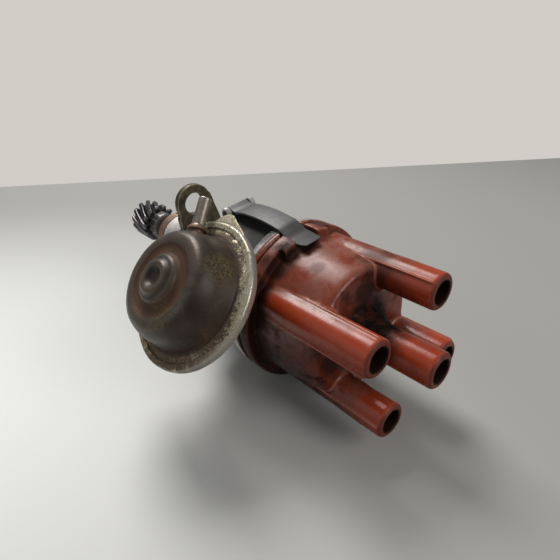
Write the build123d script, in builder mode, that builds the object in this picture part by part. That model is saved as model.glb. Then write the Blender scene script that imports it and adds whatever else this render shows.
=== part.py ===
from build123d import *
from math import asin, cos, degrees, radians, sin
import os

# A four-cylinder contact-breaker ignition distributor with centrifugal and vacuum advance.
# It lies on its side: the shaft runs along X, with the cap towards +X and the drive gear
# towards -X. The origin is on the shaft's axis, at the shoulder that is clamped to the
# engine. Angles turn about X, from +Y towards +Z. Lengths are millimetres.

os.makedirs("parts", exist_ok=True)

# ---- fits and gaps ----
running = 0.05          # radial clearance of a shaft or pin that turns
slack = 0.3             # gap between pieces that pass each other
loose = 0.15            # clearance of loose pins, guides and plates

# ---- where things stand around the shaft, in degrees ----
cap_turn = 65.1
clip_turn = 100.0
vacuum_turn = 140.3
clamp_turn = 90.0
contact_turn = 80.0
condenser_turn = 320.0
terminal_turn = 2.0
base_screw_turns = (12.0, 155.0, 262.0)

# ---- housing ----
pilot_r = 15.0
pilot_length = 15.0
neck_r = 12.0
neck_length = 20.0
waist_x = 46.0
waist_r = 21.0
bowl_start = 60.0
bowl_r = 37.0
bowl_wall = 3.5
floor_x = 57.0
rim_x = 97.0
rim_lip = 3.0
rim_width = 4.0
spigot_height = 2.6
spigot_wall = 2.0
bush_r = 8.5
lower_bush_length = 24.0
upper_bush_length = 22.0

# ---- cap ----
collar_overlap = 0.3
collar_length = 10.0
collar_groove = 1.4
groove_lift = 2.6
groove_depth = 1.7
dome_step = 0.1
dome_height = 34.0
dome_taper = 4.1
dome_round = 2.5
roof = 6.0
cap_wall = 3.2
tower_inset = 2.3
tower_r = 8.25
tower_height = 28.0
tower_bore_r = 5.2
tower_bore_depth = 22.0
tower_chamfer = 1.0
coil_tower_extra = 11.5
cone_base_r = 13.5
cone_length = 11.0
notch_width = 13.4
notch_wall = 1.1
guard_height = 4.0
guard_width = 7.0
guard_depth = 9.0

# ---- terminals in the cap ----
terminal_r = 3.2
terminal_head_r = 4.4
terminal_head = 2.0
terminal_hole_r = 2.0
terminal_lift = 9.0
terminal_boss_r = 4.6
coil_boss_r = 6.5
coil_boss_lift = 17.0
brush_r = 2.2
brush_length = 11.5
brush_guide = 20.0
brush_spring_r = 1.6
brush_wire_r = 0.25
brush_spring_turns = 8

# ---- rotor ----
shield_thickness = 1.0
shield_hole_r = 12.0
rotor_hub_r = 10.0
rotor_arm_lift = 15.0
rotor_arm_width = 10.0
rotor_arm_reach = 22.0
rotor_tail_r = 12.0
blade_lift = 22.0
blade_thickness = 1.5
blade_width = 8.0
spark_gap = 0.8
key_slot = 2.4
key_width = 2.1
key_depth = 1.3
key_length = 4.5

# ---- shaft and drive ----
shaft_r = 6.25
spindle_r = 5.0
shaft_start = -68.0
shaft_end_lift = 2.0
washer_thickness = 0.8
washer_r = 10.5
thrust_gap = 0.1
collar_length_drive = 7.0
collar_drive_r = 14.6
cross_pin_r = 1.5
gear_start = -66.0
gear_width = 20.0
gear_teeth = 13
gear_tip_r = 14.2
gear_root_r = 10.2
gear_twist = 42.0
gear_hub_r = 9.5
gear_hub_length = 9.0

# ---- centrifugal advance ----
carrier_thickness = 2.0
carrier_r = 25.0
weight_thickness = 4.5
weight_r = 23.5
weight_bore_r = 6.8
weight_pivot = 18.0
weight_pin_reach = 9.0
weight_start = -22.0
weight_span = 162.0
post_r = 1.9
drive_pin_r = 1.5
foot_thickness = 2.0
foot_reach = 12.0
foot_width = 11.0
sleeve_r = 7.5
sleeve_neck_r = 7.0
sleeve_lift = 7.0
cam_start = 83.0
cam_length = 8.0
cam_lobe_r = 10.9
cam_flat_r = 10.3
advance_coil_r = 1.6
advance_wire_r = 0.3
advance_turns = 7

# ---- breaker ----
base_x = 76.0
plate_thickness = 1.5
base_hole_r = 13.0
base_collar_r = 15.5
breaker_plate_margin = 3.7
base_screw_margin = 2.2
base_screw_length = 8.0
fixed_contact_edge = 22.0
base_boss_r = 2.8
base_head_r = 2.1
screw_r = 1.5
arm_pivot = (17.5, -17.0)
arm_pivot_r = 2.0
arm_hub_r = 4.0
beam_inner = 16.6
beam_thickness = 1.2
beam_height = 6.0
contact_along = 17.0
contact_r = 2.2
contact_thickness = 1.5
contact_gap = 0.1
heel_r = 11.2
heel_width = 3.4
condenser_r = 6.8
condenser_length = 19.0
condenser_circle = 23.0
saddle_sheet = 0.8
saddle_width = 6.0
saddle_foot = 8.0
leaf_thickness = 0.4

# ---- low-tension terminal ----
insulator_r = 3.6
insulator_flange_r = 4.8
insulator_reach = 2.0
stud_r = 1.6
nut_height = 1.8
tab_width = 6.3
tab_thickness = 0.8
tab_length = 8.0

# ---- vacuum unit ----
vacuum_x = 89.4
vacuum_offset = 21.8
vacuum_reach = 17.1
vacuum_rim_r = 34.5
crimp_thickness = 3.6
cup_r = 27.2
cup_depth = 18.4
cup_face_r = 19.4
cup_sheet = 1.2
boss_r = 10.6
boss_top_r = 7.6
boss_height = 4.2
dimple_r = 4.2
dimple_depth = 2.2
pad_height = 1.0
foot_plate = 2.4
foot_wide = 25.0
foot_long = 22.0
nipple_turn = 248.0
nipple_out = 6.0
nipple_r = 3.0
nipple_bore_r = 1.8
nipple_reach = 43.0
rod_thickness = 1.5
rod_width = 6.0
rod_travel = 4.0
rod_post_r = 1.5
rod_jog_start = 27.0
rod_jog_end = 36.0
rivet_r = 2.0
backing_r = 11.0
backing_sheet = 0.8
diaphragm_sheet = 0.8
diaphragm_dip = 3.0
crimp_lip = 2.4
neck_bore_r = 6.0
foot_screw_depth = 7.0
screw_head = 1.4
nipple_collar = 1.6
ear_turn = 99.0
ear_width = 18.0
ear_reach = 5.5
vacuum_spring_r = 9.0
vacuum_wire_r = 0.7
vacuum_spring_turns = 5

# ---- spring clips ----
clip_width = 12.0
clip_thickness = 1.0
clip_pivot_x = 59.5
clip_pivot_lift = 0.2
clip_pin_r = 1.5
clip_eye_r = 2.6
clip_heights = (
    (68.0, 3.2),
    (81.0, 3.8),
    (94.5, 2.0),
    (101.0, -1.1),
    (105.0, -2.5),
    (111.0, -2.5),
    (119.0, -1.8),
)
lug_thickness = 3.0

# ---- hold-down clamp ----
clamp_thickness = 4.0
clamp_ring_r = 22.0
clamp_eye_out = 27.2
clamp_eye_r = 12.0
clamp_hole_r = 6.6
clamp_web = ((21.0, 11.0), (32.7, -11.5), (12.0, -19.5), (8.0, 9.0))
clamp_mouth = ((25.0, 40.0), (25.0, 12.2), (8.0, 9.3), (-25.0, 9.3), (-25.0, 40.0))


# ---- worked out from the sizes above ----
bowl_bore_r = bowl_r - bowl_wall
rim_r = bowl_r + rim_lip
spigot_r = bowl_bore_r + spigot_wall
spigot_top = rim_x + spigot_height
collar_r = rim_r + collar_overlap
collar_top = rim_x + collar_length
groove_x = rim_x + groove_lift
notch_r = spigot_r + notch_wall
dome_base_r = spigot_r + dome_step
dome_top = collar_top + dome_height
dome_top_r = dome_base_r - dome_taper
tower_circle = dome_top_r - tower_inset
tower_top = dome_top + tower_height
terminal_start = collar_top + terminal_lift
coil_boss_x = collar_top + coil_boss_lift
sleeve_top = rim_x + sleeve_lift
shaft_end = rim_x + shaft_end_lift
rotor_arm_x = rim_x + rotor_arm_lift
blade_x = rim_x + blade_lift
base_screw_circle = bowl_bore_r - base_screw_margin
breaker_plate_r = base_screw_circle - breaker_plate_margin
pad_out = bowl_r + pad_height
vacuum_rim_out = pad_out + vacuum_reach
clip_pivot = (clip_pivot_x, rim_r + clip_pivot_lift)
clip_path = tuple((x, rim_r + lift) for x, lift in clip_heights)
coil_tower_top = tower_top + coil_tower_extra
roof_x = dome_top - roof
bore_floor = tower_top - tower_bore_depth
coil_bore_floor = coil_tower_top - tower_bore_depth
coil_head_start = coil_bore_floor - terminal_head
ledge_x = spigot_top + shield_thickness + loose
washer_x = -pilot_length - thrust_gap - washer_thickness
drive_collar_end = washer_x - thrust_gap
drive_collar_start = drive_collar_end - collar_length_drive
carrier_x = floor_x + thrust_gap + washer_thickness + thrust_gap
weight_x = carrier_x + carrier_thickness + 0.2
foot_x = weight_x + weight_thickness + slack
breaker_x = base_x + plate_thickness + 0.6
set_x = breaker_x + plate_thickness
rod_x = set_x + 1.6
gear_end = gear_start + gear_width
terminal_x = rim_x - 9
foot_screw_span = foot_wide - 8
rod_slot_length = vacuum_x - rod_x + 5
rod_slot_width = rod_width + 2
contact_screw_at = (17.2, contact_along + 2.4)


def direction(angle):
    """Unit vector away from the shaft at an angle."""
    return Vector(0, cos(radians(angle)), sin(radians(angle)))


def across(x, angle=0.0, radius=0.0):
    """Plane across the shaft: local x points outwards at the angle, local y along the turn."""
    origin = Vector(x, 0, 0) + direction(angle) * radius
    return Plane(origin=origin, x_dir=direction(angle), z_dir=(1, 0, 0))


def lengthwise(angle, offset=0.0):
    """Plane along the shaft: local x is the global X, local y points outwards."""
    side = direction(angle + 90)
    return Plane(origin=side * offset, x_dir=(1, 0, 0), z_dir=side)


def facing(x, angle, height, offset=0.0):
    """Plane that faces outwards at the angle, with local x along the shaft."""
    origin = Vector(x, 0, 0) + direction(angle) * height + direction(angle + 90) * offset
    return Plane(origin=origin, x_dir=(1, 0, 0), z_dir=direction(angle))


def band(start, end, inner, outer):
    """Rectangle of a half section: from start to end along X, from inner to outer radius."""
    with Locations(((start + end) / 2, (inner + outer) / 2)):
        Rectangle(end - start, outer - inner)


def outline(*points):
    """Closed polygon, given as corner points."""
    Polygon(*points, align=None)


def tube(label, *bands):
    """Piece turned about the shaft's axis from one or more bands."""
    with BuildPart() as turned:
        with BuildSketch(Plane.XY):
            for one in bands:
                band(*one)
        revolve(axis=Axis.X)
    turned.part.label = label
    return turned.part


def coil_spring(label, start, end, coil_r, wire_r, turns):
    """Compression or tension coil between two points."""
    axis = end - start
    lead = axis.normalized() * wire_r
    height = axis.length - 2 * wire_r
    with BuildPart() as spring:
        with BuildLine() as path:
            Helix(height / turns, height, coil_r, center=start + lead, direction=axis)
        wire_start = path.line @ 0
        with BuildSketch(Plane(origin=wire_start, z_dir=path.line % 0)):
            Circle(wire_r)
        sweep(is_frenet=True)
    spring.part.label = label
    return spring.part


def save(piece):
    """Write one piece to its own STEP file, named after its label."""
    export_step(piece, "parts/" + piece.label + ".step")


# ---- housing: shank, bowl and rim in one casting ----
pad_plane = facing(vacuum_x - foot_long / 2 + 2, vacuum_turn, pad_out, vacuum_offset)
rod_slot_plane = facing((rod_x + vacuum_x) / 2, vacuum_turn, 0, vacuum_offset)
with BuildPart() as housing:
    with BuildSketch(Plane.XY):
        outline(
            (-pilot_length, 0),
            (-pilot_length, pilot_r),
            (0, pilot_r),
            (0, neck_r),
            (neck_length, neck_r),
            (waist_x, waist_r),
            (floor_x - bowl_wall, bowl_r - 2 * bowl_wall),
            (bowl_start, bowl_r),
            (rim_x - rim_width, bowl_r),
            (rim_x - rim_width, rim_r),
            (rim_x, rim_r),
            (rim_x, spigot_r),
            (spigot_top, spigot_r),
            (spigot_top, 0),
        )
    revolve(axis=Axis.X)
    # ears that hold the pins of the two spring clips
    for turn in (clip_turn, clip_turn + 180):
        ear_out = clip_pivot[1] + 2 * clip_pin_r
        with BuildSketch(lengthwise(turn)):
            with Locations((clip_pivot[0], (bowl_r - 2 * bowl_wall + clip_pivot[1]) / 2)):
                Rectangle(4 * clip_pin_r, clip_pivot[1] - bowl_r + 2 * bowl_wall)
            with Locations(clip_pivot):
                Circle(2 * clip_pin_r)
        extrude(amount=clip_width / 2 + slack + lug_thickness, both=True)
        with BuildSketch(lengthwise(turn)):
            with Locations((clip_pivot[0], clip_pivot[1])):
                Rectangle(9 * clip_pin_r, 2 * (clip_pivot[1] - bowl_r) - slack)
        extrude(amount=clip_width / 2 + slack, both=True, mode=Mode.SUBTRACT)
        with BuildSketch(lengthwise(turn)):
            with Locations(clip_pivot):
                Circle(clip_pin_r)
        extrude(amount=2 * clip_width, both=True, mode=Mode.SUBTRACT)
    # pad that the vacuum unit is screwed to
    with BuildSketch(pad_plane):
        Rectangle(foot_long, foot_wide)
    extrude(amount=-pad_out + bowl_r / 3)
    # inside of the bowl
    with BuildSketch(Plane.XY):
        band(floor_x, spigot_top, 0, bowl_bore_r)
    revolve(axis=Axis.X, mode=Mode.SUBTRACT)
    # bosses under the base plate
    with BuildSketch(across(floor_x)):
        for turn in base_screw_turns:
            with PolarLocations(base_screw_circle, 1, start_angle=turn):
                Circle(base_boss_r)
    extrude(amount=base_x - floor_x)
    with BuildSketch(across(base_x)):
        for turn in base_screw_turns:
            with PolarLocations(base_screw_circle, 1, start_angle=turn):
                Circle(screw_r)
    extrude(amount=-10, mode=Mode.SUBTRACT)
    # bores of the two bushes and of the shaft
    with BuildSketch(Plane.XY):
        band(-pilot_length, lower_bush_length - pilot_length, 0, bush_r)
        band(floor_x - upper_bush_length, floor_x, 0, bush_r)
        band(-pilot_length, floor_x, 0, shaft_r + slack)
    revolve(axis=Axis.X, mode=Mode.SUBTRACT)
    # slot for the pull rod
    with BuildSketch(rod_slot_plane):
        Rectangle(rod_slot_length, rod_slot_width)
    extrude(amount=pad_out, mode=Mode.SUBTRACT)
    # screw holes of the vacuum unit
    with BuildSketch(pad_plane):
        with GridLocations(1, foot_screw_span, 1, 2):
            Circle(screw_r)
    extrude(amount=-foot_screw_depth - 2, mode=Mode.SUBTRACT)
    # hole for the low-tension terminal
    with BuildSketch(facing(terminal_x, terminal_turn, 0)):
        Circle(insulator_r)
    extrude(amount=bowl_r + 1, mode=Mode.SUBTRACT)
housing.part.label = "housing"
save(housing.part)

lower_bush = (-pilot_length, lower_bush_length - pilot_length, shaft_r + running, bush_r)
upper_bush = (floor_x - upper_bush_length, floor_x, shaft_r + running, bush_r)
save(tube("shaft_bushes", lower_bush, upper_bush))

# ---- drive shaft, thrust collar and gear ----
with BuildPart() as drive_shaft:
    with BuildSketch(Plane.XY):
        band(shaft_start, carrier_x + carrier_thickness, 0, shaft_r)
        band(carrier_x, shaft_end, 0, spindle_r)
        band(shaft_end, shaft_end + 1.2, 0, spindle_r - 0.6)
        band(shaft_end + 1.2, shaft_end + 2.2, 0, spindle_r)
    revolve(axis=Axis.X)
    chamfer(drive_shaft.edges().group_by(Axis.X)[0], 0.8)
    for pin_x in ((drive_collar_start + drive_collar_end) / 2, gear_end + gear_hub_length / 2):
        with BuildSketch(Plane.XY):
            with Locations((pin_x, 0)):
                Circle(cross_pin_r)
        extrude(amount=shaft_r + 1, both=True, mode=Mode.SUBTRACT)
drive_shaft.part.label = "drive_shaft"
save(drive_shaft.part)

thrust_washers = (
    (washer_x, washer_x + washer_thickness, shaft_r + loose, washer_r),
    (floor_x + thrust_gap, floor_x + thrust_gap + washer_thickness, shaft_r + loose, washer_r),
)
save(tube("thrust_washers", *thrust_washers))

with BuildPart() as thrust_collar:
    with BuildSketch(Plane.XY):
        band(drive_collar_start, drive_collar_end, shaft_r, collar_drive_r)
    revolve(axis=Axis.X)
    rims = thrust_collar.edges().filter_by(GeomType.CIRCLE)
    fillet(rims.filter_by(lambda rim: rim.radius > shaft_r + 1), 1.2)
    with BuildSketch(Plane.XY):
        with Locations(((drive_collar_start + drive_collar_end) / 2, 0)):
            Circle(cross_pin_r)
    extrude(amount=collar_drive_r + 1, both=True, mode=Mode.SUBTRACT)
thrust_collar.part.label = "thrust_collar"
save(thrust_collar.part)

with BuildPart() as cross_pins:
    with BuildSketch(Plane.XY):
        with Locations(((drive_collar_start + drive_collar_end) / 2, 0)):
            Circle(cross_pin_r)
    extrude(amount=collar_drive_r - 0.3, both=True)
    with BuildSketch(Plane.XY):
        with Locations((gear_end + gear_hub_length / 2, 0)):
            Circle(cross_pin_r)
    extrude(amount=gear_hub_r + 0.4, both=True)
cross_pins.part.label = "cross_pins"
save(cross_pins.part)


def gear_outline():
    """Pointed teeth around the root circle, as one closed face across the shaft."""
    pitch = 360 / gear_teeth
    corners = []
    for tooth in range(gear_teeth):
        for radius, share in ((gear_root_r, -0.30), (gear_tip_r, -0.07), (gear_tip_r, 0.07), (gear_root_r, 0.30)):
            corners.append(direction((tooth + share) * pitch) * radius + Vector(gear_start, 0, 0))
    return Face(Wire.make_polygon(corners, close=True))


gear_body = Solid.extrude_linear_with_rotation(
    gear_outline(), (gear_start, 0, 0), (gear_width, 0, 0), gear_twist
)
with BuildPart() as drive_gear:
    add(gear_body)
    with BuildSketch(Plane.XY):
        band(gear_end - 1, gear_end + gear_hub_length, 0, gear_hub_r)
    revolve(axis=Axis.X)
    with BuildSketch(Plane.XY):
        band(gear_start - 1, gear_end + gear_hub_length + 1, 0, shaft_r)
    revolve(axis=Axis.X, mode=Mode.SUBTRACT)
    with BuildSketch(Plane.XY):
        with Locations((gear_end + gear_hub_length / 2, 0)):
            Circle(cross_pin_r)
    extrude(amount=gear_hub_r + 1, both=True, mode=Mode.SUBTRACT)
drive_gear.part.label = "drive_gear"
save(drive_gear.part)

# ---- centrifugal advance ----
post_top = foot_x - 0.1
far_end = weight_start + weight_span
weight_top = weight_x + weight_thickness
spring_x = weight_top + advance_coil_r + advance_wire_r + slack
spring_level = spring_x + advance_coil_r + advance_wire_r
with BuildPart() as weight_carrier:
    with BuildSketch(across(carrier_x)):
        Circle(carrier_r)
        Circle(shaft_r, mode=Mode.SUBTRACT)
    extrude(amount=carrier_thickness)
    with BuildSketch(across(carrier_x + carrier_thickness)):
        with PolarLocations(weight_pivot, 2):
            Circle(post_r)
    extrude(amount=post_top - carrier_x - carrier_thickness)
    with BuildSketch(across(carrier_x + carrier_thickness)):
        with PolarLocations(carrier_r - 2, 2, start_angle=far_end + 8):
            Circle(drive_pin_r)
    extrude(amount=spring_level - carrier_x)
weight_carrier.part.label = "weight_carrier"
save(weight_carrier.part)


def centrifugal_weight(label, turn):
    """Kidney-shaped weight on its post, with the pin that drives the cam sleeve."""
    with BuildPart() as weight:
        with BuildSketch(across(weight_x, turn)):
            with BuildLine():
                PolarLine((0, 0), weight_r, weight_start)
                CenterArc((0, 0), weight_r, weight_start, weight_span)
                Line((0, 0), PolarLine((0, 0), weight_r, far_end, mode=Mode.PRIVATE) @ 1)
            make_face()
            Circle(weight_bore_r, mode=Mode.SUBTRACT)
            with Locations((weight_pivot, 0)):
                Circle(post_r + loose, mode=Mode.SUBTRACT)
        extrude(amount=weight_thickness)
        with BuildSketch(across(weight_x + weight_thickness, turn)):
            with Locations((weight_pin_reach, 0)):
                Circle(drive_pin_r)
        extrude(amount=slack + foot_thickness)
        with BuildSketch(across(weight_x + weight_thickness, turn)):
            with PolarLocations(weight_r - 3.5, 1, start_angle=far_end - 25):
                Circle(drive_pin_r)
        extrude(amount=spring_level - weight_top)
    weight.part.label = label
    return weight.part


save(centrifugal_weight("weight_1", 0))
save(centrifugal_weight("weight_2", 180))

for number, turn in ((1, 0), (2, 180)):
    fixed_end = Vector(spring_x, 0, 0) + direction(far_end + 8 + turn) * (carrier_r - 2)
    moving_end = Vector(spring_x, 0, 0) + direction(far_end - 25 + turn) * (weight_r - 3.5)
    way = (fixed_end - moving_end).normalized() * (drive_pin_r + 0.2)
    spring_name = f"advance_spring_{number}"
    save(
        coil_spring(
            spring_name, moving_end + way, fixed_end - way, advance_coil_r, advance_wire_r, advance_turns
        )
    )

# ---- cam sleeve, turning on the spindle ----
with BuildPart() as cam_sleeve:
    with BuildSketch(across(foot_x)):
        SlotOverall(2 * foot_reach, foot_width)
    extrude(amount=foot_thickness)
    with BuildSketch(Plane.XY):
        band(foot_x, cam_start, 0, sleeve_r)
        band(cam_start, sleeve_top, 0, sleeve_neck_r)
    revolve(axis=Axis.X)
    with BuildSketch(across(cam_start, contact_turn)):
        Circle(cam_lobe_r)
        Rectangle(2 * cam_flat_r, 2 * cam_flat_r, mode=Mode.INTERSECT)
    extrude(amount=cam_length)
    with BuildSketch(Plane.XY):
        band(foot_x, sleeve_top, 0, spindle_r + running)
    revolve(axis=Axis.X, mode=Mode.SUBTRACT)
    with BuildSketch(across(foot_x)):
        with PolarLocations(weight_pin_reach + 0.3, 2):
            SlotOverall(2 * drive_pin_r + 1.6, 2 * (drive_pin_r + loose))
    extrude(amount=foot_thickness, mode=Mode.SUBTRACT)
    # key slot for the rotor arm
    with BuildSketch(across(sleeve_top)):
        with Locations((sleeve_neck_r, 0)):
            Rectangle(key_slot, key_slot)
    extrude(amount=-key_length - slack, mode=Mode.SUBTRACT)
cam_sleeve.part.label = "cam_sleeve"
save(cam_sleeve.part)

clip_ring = (shaft_end + 0.1, shaft_end + 1.1, spindle_r - 0.6, spindle_r)
save(tube("spindle_circlip", clip_ring))
felt = (shaft_end + 2.3, sleeve_top - 0.4, 0, spindle_r - 0.2)
save(tube("oil_felt", felt))

# ---- base plate and breaker plate ----
with BuildPart() as base_plate:
    with BuildSketch(across(base_x)):
        Circle(bowl_bore_r - loose)
        Circle(base_hole_r, mode=Mode.SUBTRACT)
        for turn in base_screw_turns:
            with PolarLocations(base_screw_circle, 1, start_angle=turn):
                Circle(screw_r + loose, mode=Mode.SUBTRACT)
    extrude(amount=plate_thickness)
    with BuildSketch(across(base_x + plate_thickness)):
        Circle(base_collar_r)
        Circle(base_hole_r, mode=Mode.SUBTRACT)
    extrude(amount=set_x + 1.4 - base_x - plate_thickness)
base_plate.part.label = "base_plate"
save(base_plate.part)

with BuildPart() as base_plate_screws:
    for turn in base_screw_turns:
        with BuildSketch(across(base_x - base_screw_length, turn, base_screw_circle)):
            Circle(screw_r)
        extrude(amount=base_screw_length + plate_thickness)
        with BuildSketch(across(base_x + plate_thickness, turn, base_screw_circle)):
            Circle(base_head_r)
            Rectangle(4 * screw_r, 0.7, mode=Mode.SUBTRACT)
        extrude(amount=1.2)
        with BuildSketch(across(base_x + plate_thickness, turn, base_screw_circle)):
            Circle(base_head_r)
        extrude(amount=0.5)
base_plate_screws.part.label = "base_plate_screws"
save(base_plate_screws.part)

rod_swing = degrees(asin(rod_travel / 2 / vacuum_offset))
rod_post_turn = vacuum_turn + 90 + rod_swing
leaf_end = (beam_inner + beam_thickness + 3.6, -5.0)
with BuildPart() as breaker_plate:
    with BuildSketch(across(breaker_x)):
        Circle(breaker_plate_r)
        Circle(base_collar_r + running, mode=Mode.SUBTRACT)
    extrude(amount=plate_thickness)
    with BuildSketch(across(breaker_x, contact_turn)):
        with Locations(contact_screw_at):
            Circle(screw_r)
    extrude(amount=plate_thickness, mode=Mode.SUBTRACT)
    with BuildSketch(across(set_x, rod_post_turn, vacuum_offset)):
        Circle(rod_post_r)
    extrude(amount=rod_x - set_x + rod_thickness + 0.8)
    with BuildSketch(across(set_x, rod_post_turn, vacuum_offset)):
        Circle(rod_post_r + 1)
    extrude(amount=rod_x - set_x - 0.2)
    with BuildSketch(across(set_x, contact_turn)):
        with Locations(arm_pivot):
            Circle(arm_pivot_r)
    extrude(amount=beam_height + 5)
    with BuildSketch(across(set_x, contact_turn)):
        with Locations((leaf_end[0] + leaf_thickness / 2, leaf_end[1])):
            Rectangle(2 * leaf_thickness, 4, align=(Align.MIN, Align.CENTER))
    extrude(amount=beam_height + 3)
breaker_plate.part.label = "breaker_plate"
save(breaker_plate.part)

retainer = (set_x + 0.2, set_x + 1.2, base_collar_r, base_collar_r + 1.6)
save(tube("plate_retainer", retainer))

# ---- contact set, in the plane turned to the contacts ----
beam_x = set_x + 3.4
anvil = beam_inner - contact_thickness - contact_gap
anvil_back = anvil - contact_thickness
with BuildPart() as fixed_contact:
    with BuildSketch(across(set_x, contact_turn)):
        with Locations(((anvil_back + fixed_contact_edge) / 2, contact_along + 2.4)):
            Rectangle(fixed_contact_edge - anvil_back + 1.4, 5.4)
        with Locations(contact_screw_at):
            Circle(screw_r + loose, mode=Mode.SUBTRACT)
    extrude(amount=plate_thickness)
    with BuildSketch(across(set_x, contact_turn)):
        with Locations((anvil_back - 0.7, contact_along + 0.8)):
            Rectangle(1.4, 5.4)
    extrude(amount=beam_height + 3.4)
    with BuildSketch(Plane(
        origin=across(beam_x + beam_height / 2, contact_turn).from_local_coords((anvil_back, contact_along, 0)),
        z_dir=direction(contact_turn),
    )):
        Circle(contact_r)
    extrude(amount=contact_thickness)
fixed_contact.part.label = "fixed_contact"
save(fixed_contact.part)

with BuildPart() as contact_screw:
    with BuildSketch(across(breaker_x, contact_turn)):
        with Locations(contact_screw_at):
            Circle(screw_r)
    extrude(amount=2 * plate_thickness)
    with BuildSketch(across(set_x + plate_thickness, contact_turn)):
        with Locations(contact_screw_at):
            Circle(1.5 * screw_r)
    extrude(amount=1.2)
contact_screw.part.label = "contact_screw"
save(contact_screw.part)

beam_mid = beam_inner + beam_thickness / 2
with BuildPart() as breaker_arm:
    with BuildSketch(across(beam_x, contact_turn)):
        with Locations((beam_mid, (contact_along + arm_pivot[1]) / 2)):
            Rectangle(beam_thickness, contact_along - arm_pivot[1] + contact_r)
        with Locations(arm_pivot):
            Circle(arm_hub_r)
            Circle(arm_pivot_r + running, mode=Mode.SUBTRACT)
    extrude(amount=beam_height)
    with BuildSketch(Plane(
        origin=across(beam_x + beam_height / 2, contact_turn).from_local_coords((beam_inner, contact_along, 0)),
        z_dir=-direction(contact_turn),
    )):
        Circle(contact_r)
    extrude(amount=contact_thickness)
breaker_arm.part.label = "breaker_arm"
save(breaker_arm.part)

with BuildPart() as rubbing_block:
    with BuildSketch(across(beam_x + 0.5, contact_turn)):
        with Locations(((heel_r + beam_inner) / 2, 0)):
            Rectangle(beam_inner - heel_r, heel_width)
    extrude(amount=beam_height - 1)
    fillet(rubbing_block.edges().filter_by(Axis.X).group_by(Axis.Z)[0], heel_width / 4)
rubbing_block.part.label = "rubbing_block"
save(rubbing_block.part)

with BuildPart() as arm_spring:
    with BuildSketch(across(beam_x + 1, contact_turn)):
        with BuildLine():
            Spline(
                (beam_inner + beam_thickness + leaf_thickness / 2, contact_along - 4),
                (beam_inner + beam_thickness + 2.6, 4),
                leaf_end,
            )
        trace(line_width=leaf_thickness)
    extrude(amount=beam_height - 2)
arm_spring.part.label = "arm_spring"
save(arm_spring.part)

# ---- condenser, with its welded saddle on the breaker plate ----
condenser_x = set_x + saddle_sheet + condenser_r
condenser_side = direction(condenser_turn + 90)
condenser_mid = across(condenser_x, condenser_turn, condenser_circle).origin
condenser_end = Plane(
    origin=condenser_mid - condenser_side * condenser_length / 2,
    x_dir=direction(condenser_turn),
    z_dir=condenser_side,
)
with BuildPart() as condenser:
    with BuildSketch(condenser_end):
        Circle(condenser_r)
    extrude(amount=condenser_length)
    chamfer(condenser.edges().filter_by(GeomType.CIRCLE), 0.8)
condenser.part.label = "condenser"
save(condenser.part)

with BuildPart() as condenser_strap:
    with BuildSketch(condenser_end.offset((condenser_length - saddle_width) / 2)):
        Circle(condenser_r + saddle_sheet)
        with Locations((0, condenser_r)):
            Rectangle(saddle_foot, saddle_sheet, align=(Align.CENTER, Align.MIN))
        Circle(condenser_r, mode=Mode.SUBTRACT)
    extrude(amount=saddle_width)
condenser_strap.part.label = "condenser_strap"
save(condenser_strap.part)

# ---- low-tension terminal through the wall of the bowl ----
with BuildPart() as terminal_insulator:
    with BuildSketch(facing(terminal_x, terminal_turn, bowl_bore_r - insulator_reach)):
        Circle(insulator_r)
    extrude(amount=bowl_wall + 2 * insulator_reach)
    with BuildSketch(facing(terminal_x, terminal_turn, bowl_r + loose)):
        Circle(insulator_flange_r)
    extrude(amount=insulator_reach)
    with BuildSketch(facing(terminal_x, terminal_turn, 0)):
        Circle(stud_r)
    extrude(amount=2 * bowl_r, mode=Mode.SUBTRACT)
terminal_insulator.part.label = "terminal_insulator"
save(terminal_insulator.part)

nut_out = bowl_r + loose + insulator_reach
with BuildPart() as low_tension_terminal:
    with BuildSketch(facing(terminal_x, terminal_turn, bowl_bore_r - insulator_reach - 1)):
        Circle(stud_r)
    extrude(amount=nut_out + nut_height - bowl_bore_r + insulator_reach + 1)
    with BuildSketch(facing(terminal_x, terminal_turn, nut_out)):
        RegularPolygon(2 * stud_r, 6)
    extrude(amount=nut_height)
    with BuildSketch(facing(terminal_x, terminal_turn, nut_out + nut_height)):
        Rectangle(tab_width, tab_thickness)
    extrude(amount=tab_length)
low_tension_terminal.part.label = "low_tension_terminal"
save(low_tension_terminal.part)

# ---- dust shield between the breaker and the rotor ----
save(tube("dust_shield", (spigot_top, spigot_top + shield_thickness, shield_hole_r, spigot_r)))

# ---- rotor arm, keyed on the cam sleeve ----
with BuildPart() as rotor_arm:
    with BuildSketch(Plane.XY):
        band(rim_x, blade_x, 0, rotor_hub_r)
    revolve(axis=Axis.X)
    with BuildSketch(across(rotor_arm_x, cap_turn)):
        Circle(rotor_tail_r)
        Rectangle(rotor_arm_reach, rotor_arm_width, align=(Align.MIN, Align.CENTER))
    extrude(amount=blade_x - rotor_arm_x)
    fillet(rotor_arm.edges().filter_by(Axis.X), 1.0)
    with BuildSketch(Plane.XY):
        band(rim_x, sleeve_top + slack, 0, sleeve_neck_r + running)
    revolve(axis=Axis.X, mode=Mode.SUBTRACT)
    with BuildSketch(across(sleeve_top - key_length)):
        with Locations((sleeve_neck_r - key_depth / 2 + slack, 0)):
            Rectangle(key_depth, key_width)
    extrude(amount=key_length + slack)
rotor_arm.part.label = "rotor_arm"
save(rotor_arm.part)

blade_reach = tower_circle - terminal_r - spark_gap
with BuildPart() as rotor_blade:
    with BuildSketch(across(blade_x, cap_turn)):
        Circle(blade_width / 2)
        Rectangle(blade_reach, blade_width, align=(Align.MIN, Align.CENTER))
        Circle(blade_reach, mode=Mode.INTERSECT)
    extrude(amount=blade_thickness)
rotor_blade.part.label = "rotor_blade"
save(rotor_blade.part)

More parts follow.
